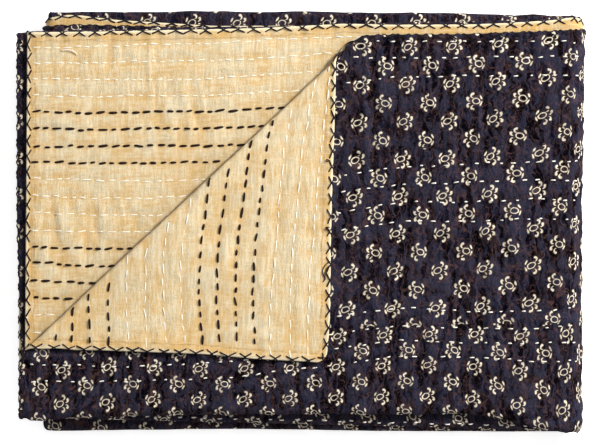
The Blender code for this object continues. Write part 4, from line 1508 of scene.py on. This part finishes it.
def thread_material(name, light, dark, sheen):
    """Twisted cotton thread, with painted shade between its plies."""
    made = bpy.data.materials.new(name)
    made.use_nodes = True
    tree = made.node_tree
    shader = tree.nodes["Principled BSDF"]
    twist = put(tree, "ShaderNodeGroup", {"Along": fact(tree, "twist")}, node_tree=twist_group).outputs
    # Painted shade: the colour goes towards dark where the twist sinks in between the plies
    part = reckon(tree, "MULTIPLY", step_between(tree, twist["Height"], 0.0, 0.7),
                  step_between(tree, twist["Fuzz"], 0.25, 0.6, 0.6, 1.0))
    tree.links.new(mix_colours(tree, part, dark, light), shader.inputs["Base Color"])
    tree.links.new(step_between(tree, twist["Fuzz"], 0.2, 0.8, 0.6, 0.85), shader.inputs["Roughness"])
    shader.inputs["Sheen Weight"].default_value = sheen
    shader.inputs["Specular IOR Level"].default_value = 0.08
    bumps = reckon(tree, "MULTIPLY_ADD", twist["Fuzz"], 0.4, twist["Height"])
    bump = put(tree, "ShaderNodeBump", {"Height": bumps, "Distance": 0.0002, "Strength": 0.7})
    tree.links.new(bump.outputs[0], shader.inputs["Normal"])
    return made


pale_thread = thread_material("off-white thread", light=(0.95, 0.92, 0.84, 1),
                              dark=(0.72, 0.65, 0.50, 1), sheen=0.2)
brown_thread = thread_material("dark brown thread", light=(0.028, 0.014, 0.009, 1),
                               dark=(0.010, 0.006, 0.005, 1), sheen=0.01)
hem_thread = thread_material("near-black thread", light=(0.014, 0.011, 0.016, 1),
                             dark=(0.006, 0.005, 0.008, 1), sheen=0.01)
pale_stitches = thread_object("PaleStitches", batches["pale"], pale_thread)
brown_stitches = thread_object("BrownStitches", batches["brown"], brown_thread)

# Hem: both cloths are turned in and closed over the rim with crossed whip stitches in near-black
# thread, one pair every 12.5 mm, which make a row of crosses at the edge. They reach less far in
# on the hidden columns.
CROSS_REACH = 7.3
CROSS_OFFSET = 2.1
CROSS_DEPTH = 3.5
CROSS_THREAD = 0.58
CROSS_RINGS = 13
HIDDEN_SHARE = 0.6
RIM_BULGE = 0.3


def rim_path():
    """The sheet's outline as places about a millimetre apart, with its length up to each."""
    sides = [(rim_along[:, 0], rim_level[:, 0]), (rim_along[-1, 1:], rim_level[-1, 1:]),
             (rim_along[-2::-1, -1], rim_level[-2::-1, -1]), (rim_along[0, -2:0:-1], rim_level[0, -2:0:-1])]
    path = np.concatenate([np.column_stack(side) for side in sides])
    path = np.vstack((path, path[:1]))
    runs = np.concatenate(((0.0,), np.cumsum(np.linalg.norm(np.diff(path, axis=0), axis=1))))
    return path, runs


outline, outline_runs = rim_path()


# The outline's heading is taken from places this far to both sides
HEADING_REACH = 1.5


def on_outline(runs):
    """Places on the outline and the way in from them."""
    runs = np.mod(runs, outline_runs[-1])
    around = outline_runs[-1]
    places = [np.column_stack([np.interp(runs + step, outline_runs, outline[:, k], period=around)
                               for k in (0, 1)]) for step in (-HEADING_REACH, 0.0, HEADING_REACH)]
    ahead = places[2] - places[0]
    ahead /= np.linalg.norm(ahead, axis=1, keepdims=True)
    return places[1], np.column_stack((ahead[:, 1], -ahead[:, 0]))


def cross_legs(way):
    """One leg of every cross, over the rim from the plain side to the printed side."""
    count = int(outline_runs[-1] / CROSS_PITCH)
    chance = np.random.default_rng(700 + way)
    middles = (np.arange(count) + chance.uniform(-0.10, 0.10, count)) * outline_runs[-1] / count
    part = np.linspace(-1.0, 1.0, CROSS_RINGS)
    reach = CROSS_REACH * chance.uniform(0.85, 1.12, (count, 1))
    depth = CROSS_DEPTH * chance.uniform(0.8, 1.25, (count, 1))
    hidden = on_outline(middles)[0][:, :1] > COLUMN_FOLD_1
    depth = np.where(hidden, HIDDEN_SHARE * depth, depth)
    runs = (middles[:, None] + way * (CROSS_OFFSET + reach * part[None, :])).ravel()
    inset = (depth * np.abs(part)[None, :]).ravel() - 0.25
    places, inwards = on_outline(runs)
    flat = places + inwards * np.maximum(inset, 0.05)[:, None]
    over = np.tile(np.clip(part * 3.2, -1.0, 1.0), count)
    faces = []
    for printed in (False, True):
        lift = CROSS_THREAD * 0.7 - 0.7 * np.tile(smooth((np.abs(part) - 0.8) / 0.2), count)
        faces.append(on_cloth(flat, printed, lift)[0])
    share = (over[:, None] + 1) / 2
    centres = faces[0] * (1 - share) + faces[1] * share
    beyond = fold(places - inwards * RIM_BULGE, np.full(len(places), RIM_MIDDLE))
    near = np.exp(-(np.tile(part, count) / 0.16) ** 2)[:, None]
    centres = centres * (1 - near) + beyond * near
    inner = fold(places + inwards * 6.0, np.full(len(places), RIM_MIDDLE))
    normals = centres - inner
    normals /= np.linalg.norm(normals, axis=1, keepdims=True)
    shape = (count, CROSS_RINGS, 3)
    radii = np.full((count, CROSS_RINGS), CROSS_THREAD * MM) * chance.uniform(0.85, 1.15, (count, 1))
    return centres.reshape(shape), normals.reshape(shape), radii


hem_stitches = thread_object("HemStitches", [cross_legs(1), cross_legs(-1)], hem_thread)

# Loose ends: an off-white thread end lies on the inner panel, and the hem thread is tied off
# with a knot and two short ends on the turned corner's side.
PALE_END = ((-188.8, 134.4), (-184.0, 135.2), (-179.5, 134.9), (-177.0, 133.3), (-175.6, 131.2))
END_RINGS = 15
END_DIP = 0.4
END_TAPER = (0.8, 0.35)
DARK_ENDS = (
    ((23.6, -30.5), (19.5, -33.5), (17.2, -37.5), (17.8, -42.0), (20.2, -45.0)),
    ((24.0, -33.5), (21.2, -35.5), (19.0, -39.8), (19.6, -44.5), (17.4, -47.6)),
    ((22.4, 48.4), (20.6, 49.2), (19.8, 48.0), (21.2, 47.2), (22.6, 48.0)),
    ((22.8, -4.2), (20.4, -4.0), (19.4, -5.2), (20.6, -6.2), (22.4, -5.4)),
)


def loose_end(points, flatten, radius, lift):
    """A short thread that lies on the plain cloth."""
    points = np.array(points, dtype=float)
    at = np.linspace(0.0, len(points) - 1.0, END_RINGS)
    seen = np.column_stack([np.interp(at, np.arange(len(points)), points[:, k]) for k in (0, 1)])
    seen[1:-1] = (seen[:-2] + 2 * seen[1:-1] + seen[2:]) / 4
    raise_by = lift * np.sin(math.pi * np.linspace(0.0, 1.0, END_RINGS)) + radius
    raise_by[0] = -END_DIP
    centres, normals = on_cloth(flatten(seen), False, raise_by)
    radii = np.full((1, END_RINGS), radius * MM)
    radii[0, -2:] *= END_TAPER
    return centres[None], normals[None], radii


thread_object("PaleThreadEnd", [loose_end(PALE_END, inner_panel, radius=0.42, lift=1.2)],
              pale_thread)
dark_tubes = [loose_end(line, turned_corner, radius=0.36, lift=0.5) for line in DARK_ENDS]
thread_object("HemThreadEnds", dark_tubes, hem_thread)

# Studio: a plain white floor, a soft light from the upper right, a broad soft light overhead and
# a camera straight above with a long lens, as in the photograph. Sizes here are in metres.
PHOTO_WIDTH = 0.471
CAMERA_RISE = 6.0
TOP_HEIGHT = 0.043
CAMERA_PLACE = (0.00016, -0.00031)
CAMERA_REACH = 20.0
FLOOR_HALF = 3.0
FLOOR_DROP = 0.0003
FLOOR_GLOW = 0.68
WORLD_STRENGTH = 0.32
WHITE = (1.0, 1.0, 1.0, 1.0)
PAPER = (0.93, 0.93, 0.93, 1.0)
floor_mesh = bpy.data.meshes.new("Floor")
corner_signs = ((-1, -1), (1, -1), (1, 1), (-1, 1))
floor_corners = [(x * FLOOR_HALF, y * FLOOR_HALF, -FLOOR_DROP) for x, y in corner_signs]
floor_mesh.from_pydata(floor_corners, [], [(0, 1, 2, 3)])
floor = bpy.data.objects.new("Floor", floor_mesh)
bpy.context.scene.collection.objects.link(floor)
paper = bpy.data.materials.new("white paper")
paper.use_nodes = True
paper_settings = {"Base Color": PAPER, "Roughness": 0.9, "Emission Color": WHITE,
                  "Emission Strength": FLOOR_GLOW}
for label, value in paper_settings.items():
    paper.node_tree.nodes["Principled BSDF"].inputs[label].default_value = value
floor_mesh.materials.append(paper)


def soft_light(name, place, size, power):
    """A square soft light aimed at the throw."""
    lamp = bpy.data.lights.new(name, "AREA")
    lamp.size = size
    lamp.energy = power
    made = bpy.data.objects.new(name, lamp)
    made.location = place
    made.rotation_euler = (-Vector(place)).to_track_quat("-Z", "Y").to_euler()
    bpy.context.scene.collection.objects.link(made)


soft_light("KeyLight", place=(1.75, 1.15, 1.55), size=0.6, power=114.0)
soft_light("OverheadLight", place=(-0.2, 0.3, 3.4), size=2.4, power=20.0)
world = bpy.data.worlds.new("Studio")
world.use_nodes = True
world.node_tree.nodes["Background"].inputs["Color"].default_value = WHITE
world.node_tree.nodes["Background"].inputs["Strength"].default_value = WORLD_STRENGTH
bpy.context.scene.world = world
bpy.context.scene.view_settings.view_transform = "Standard"

camera_data = bpy.data.cameras.new("PhotoCamera")
camera_data.lens = camera_data.sensor_width / PHOTO_WIDTH * CAMERA_RISE
camera_data.clip_end = CAMERA_REACH
camera = bpy.data.objects.new("PhotoCamera", camera_data)
camera.location = (*CAMERA_PLACE, TOP_HEIGHT + CAMERA_RISE)
bpy.context.scene.collection.objects.link(camera)
bpy.context.scene.camera = camera
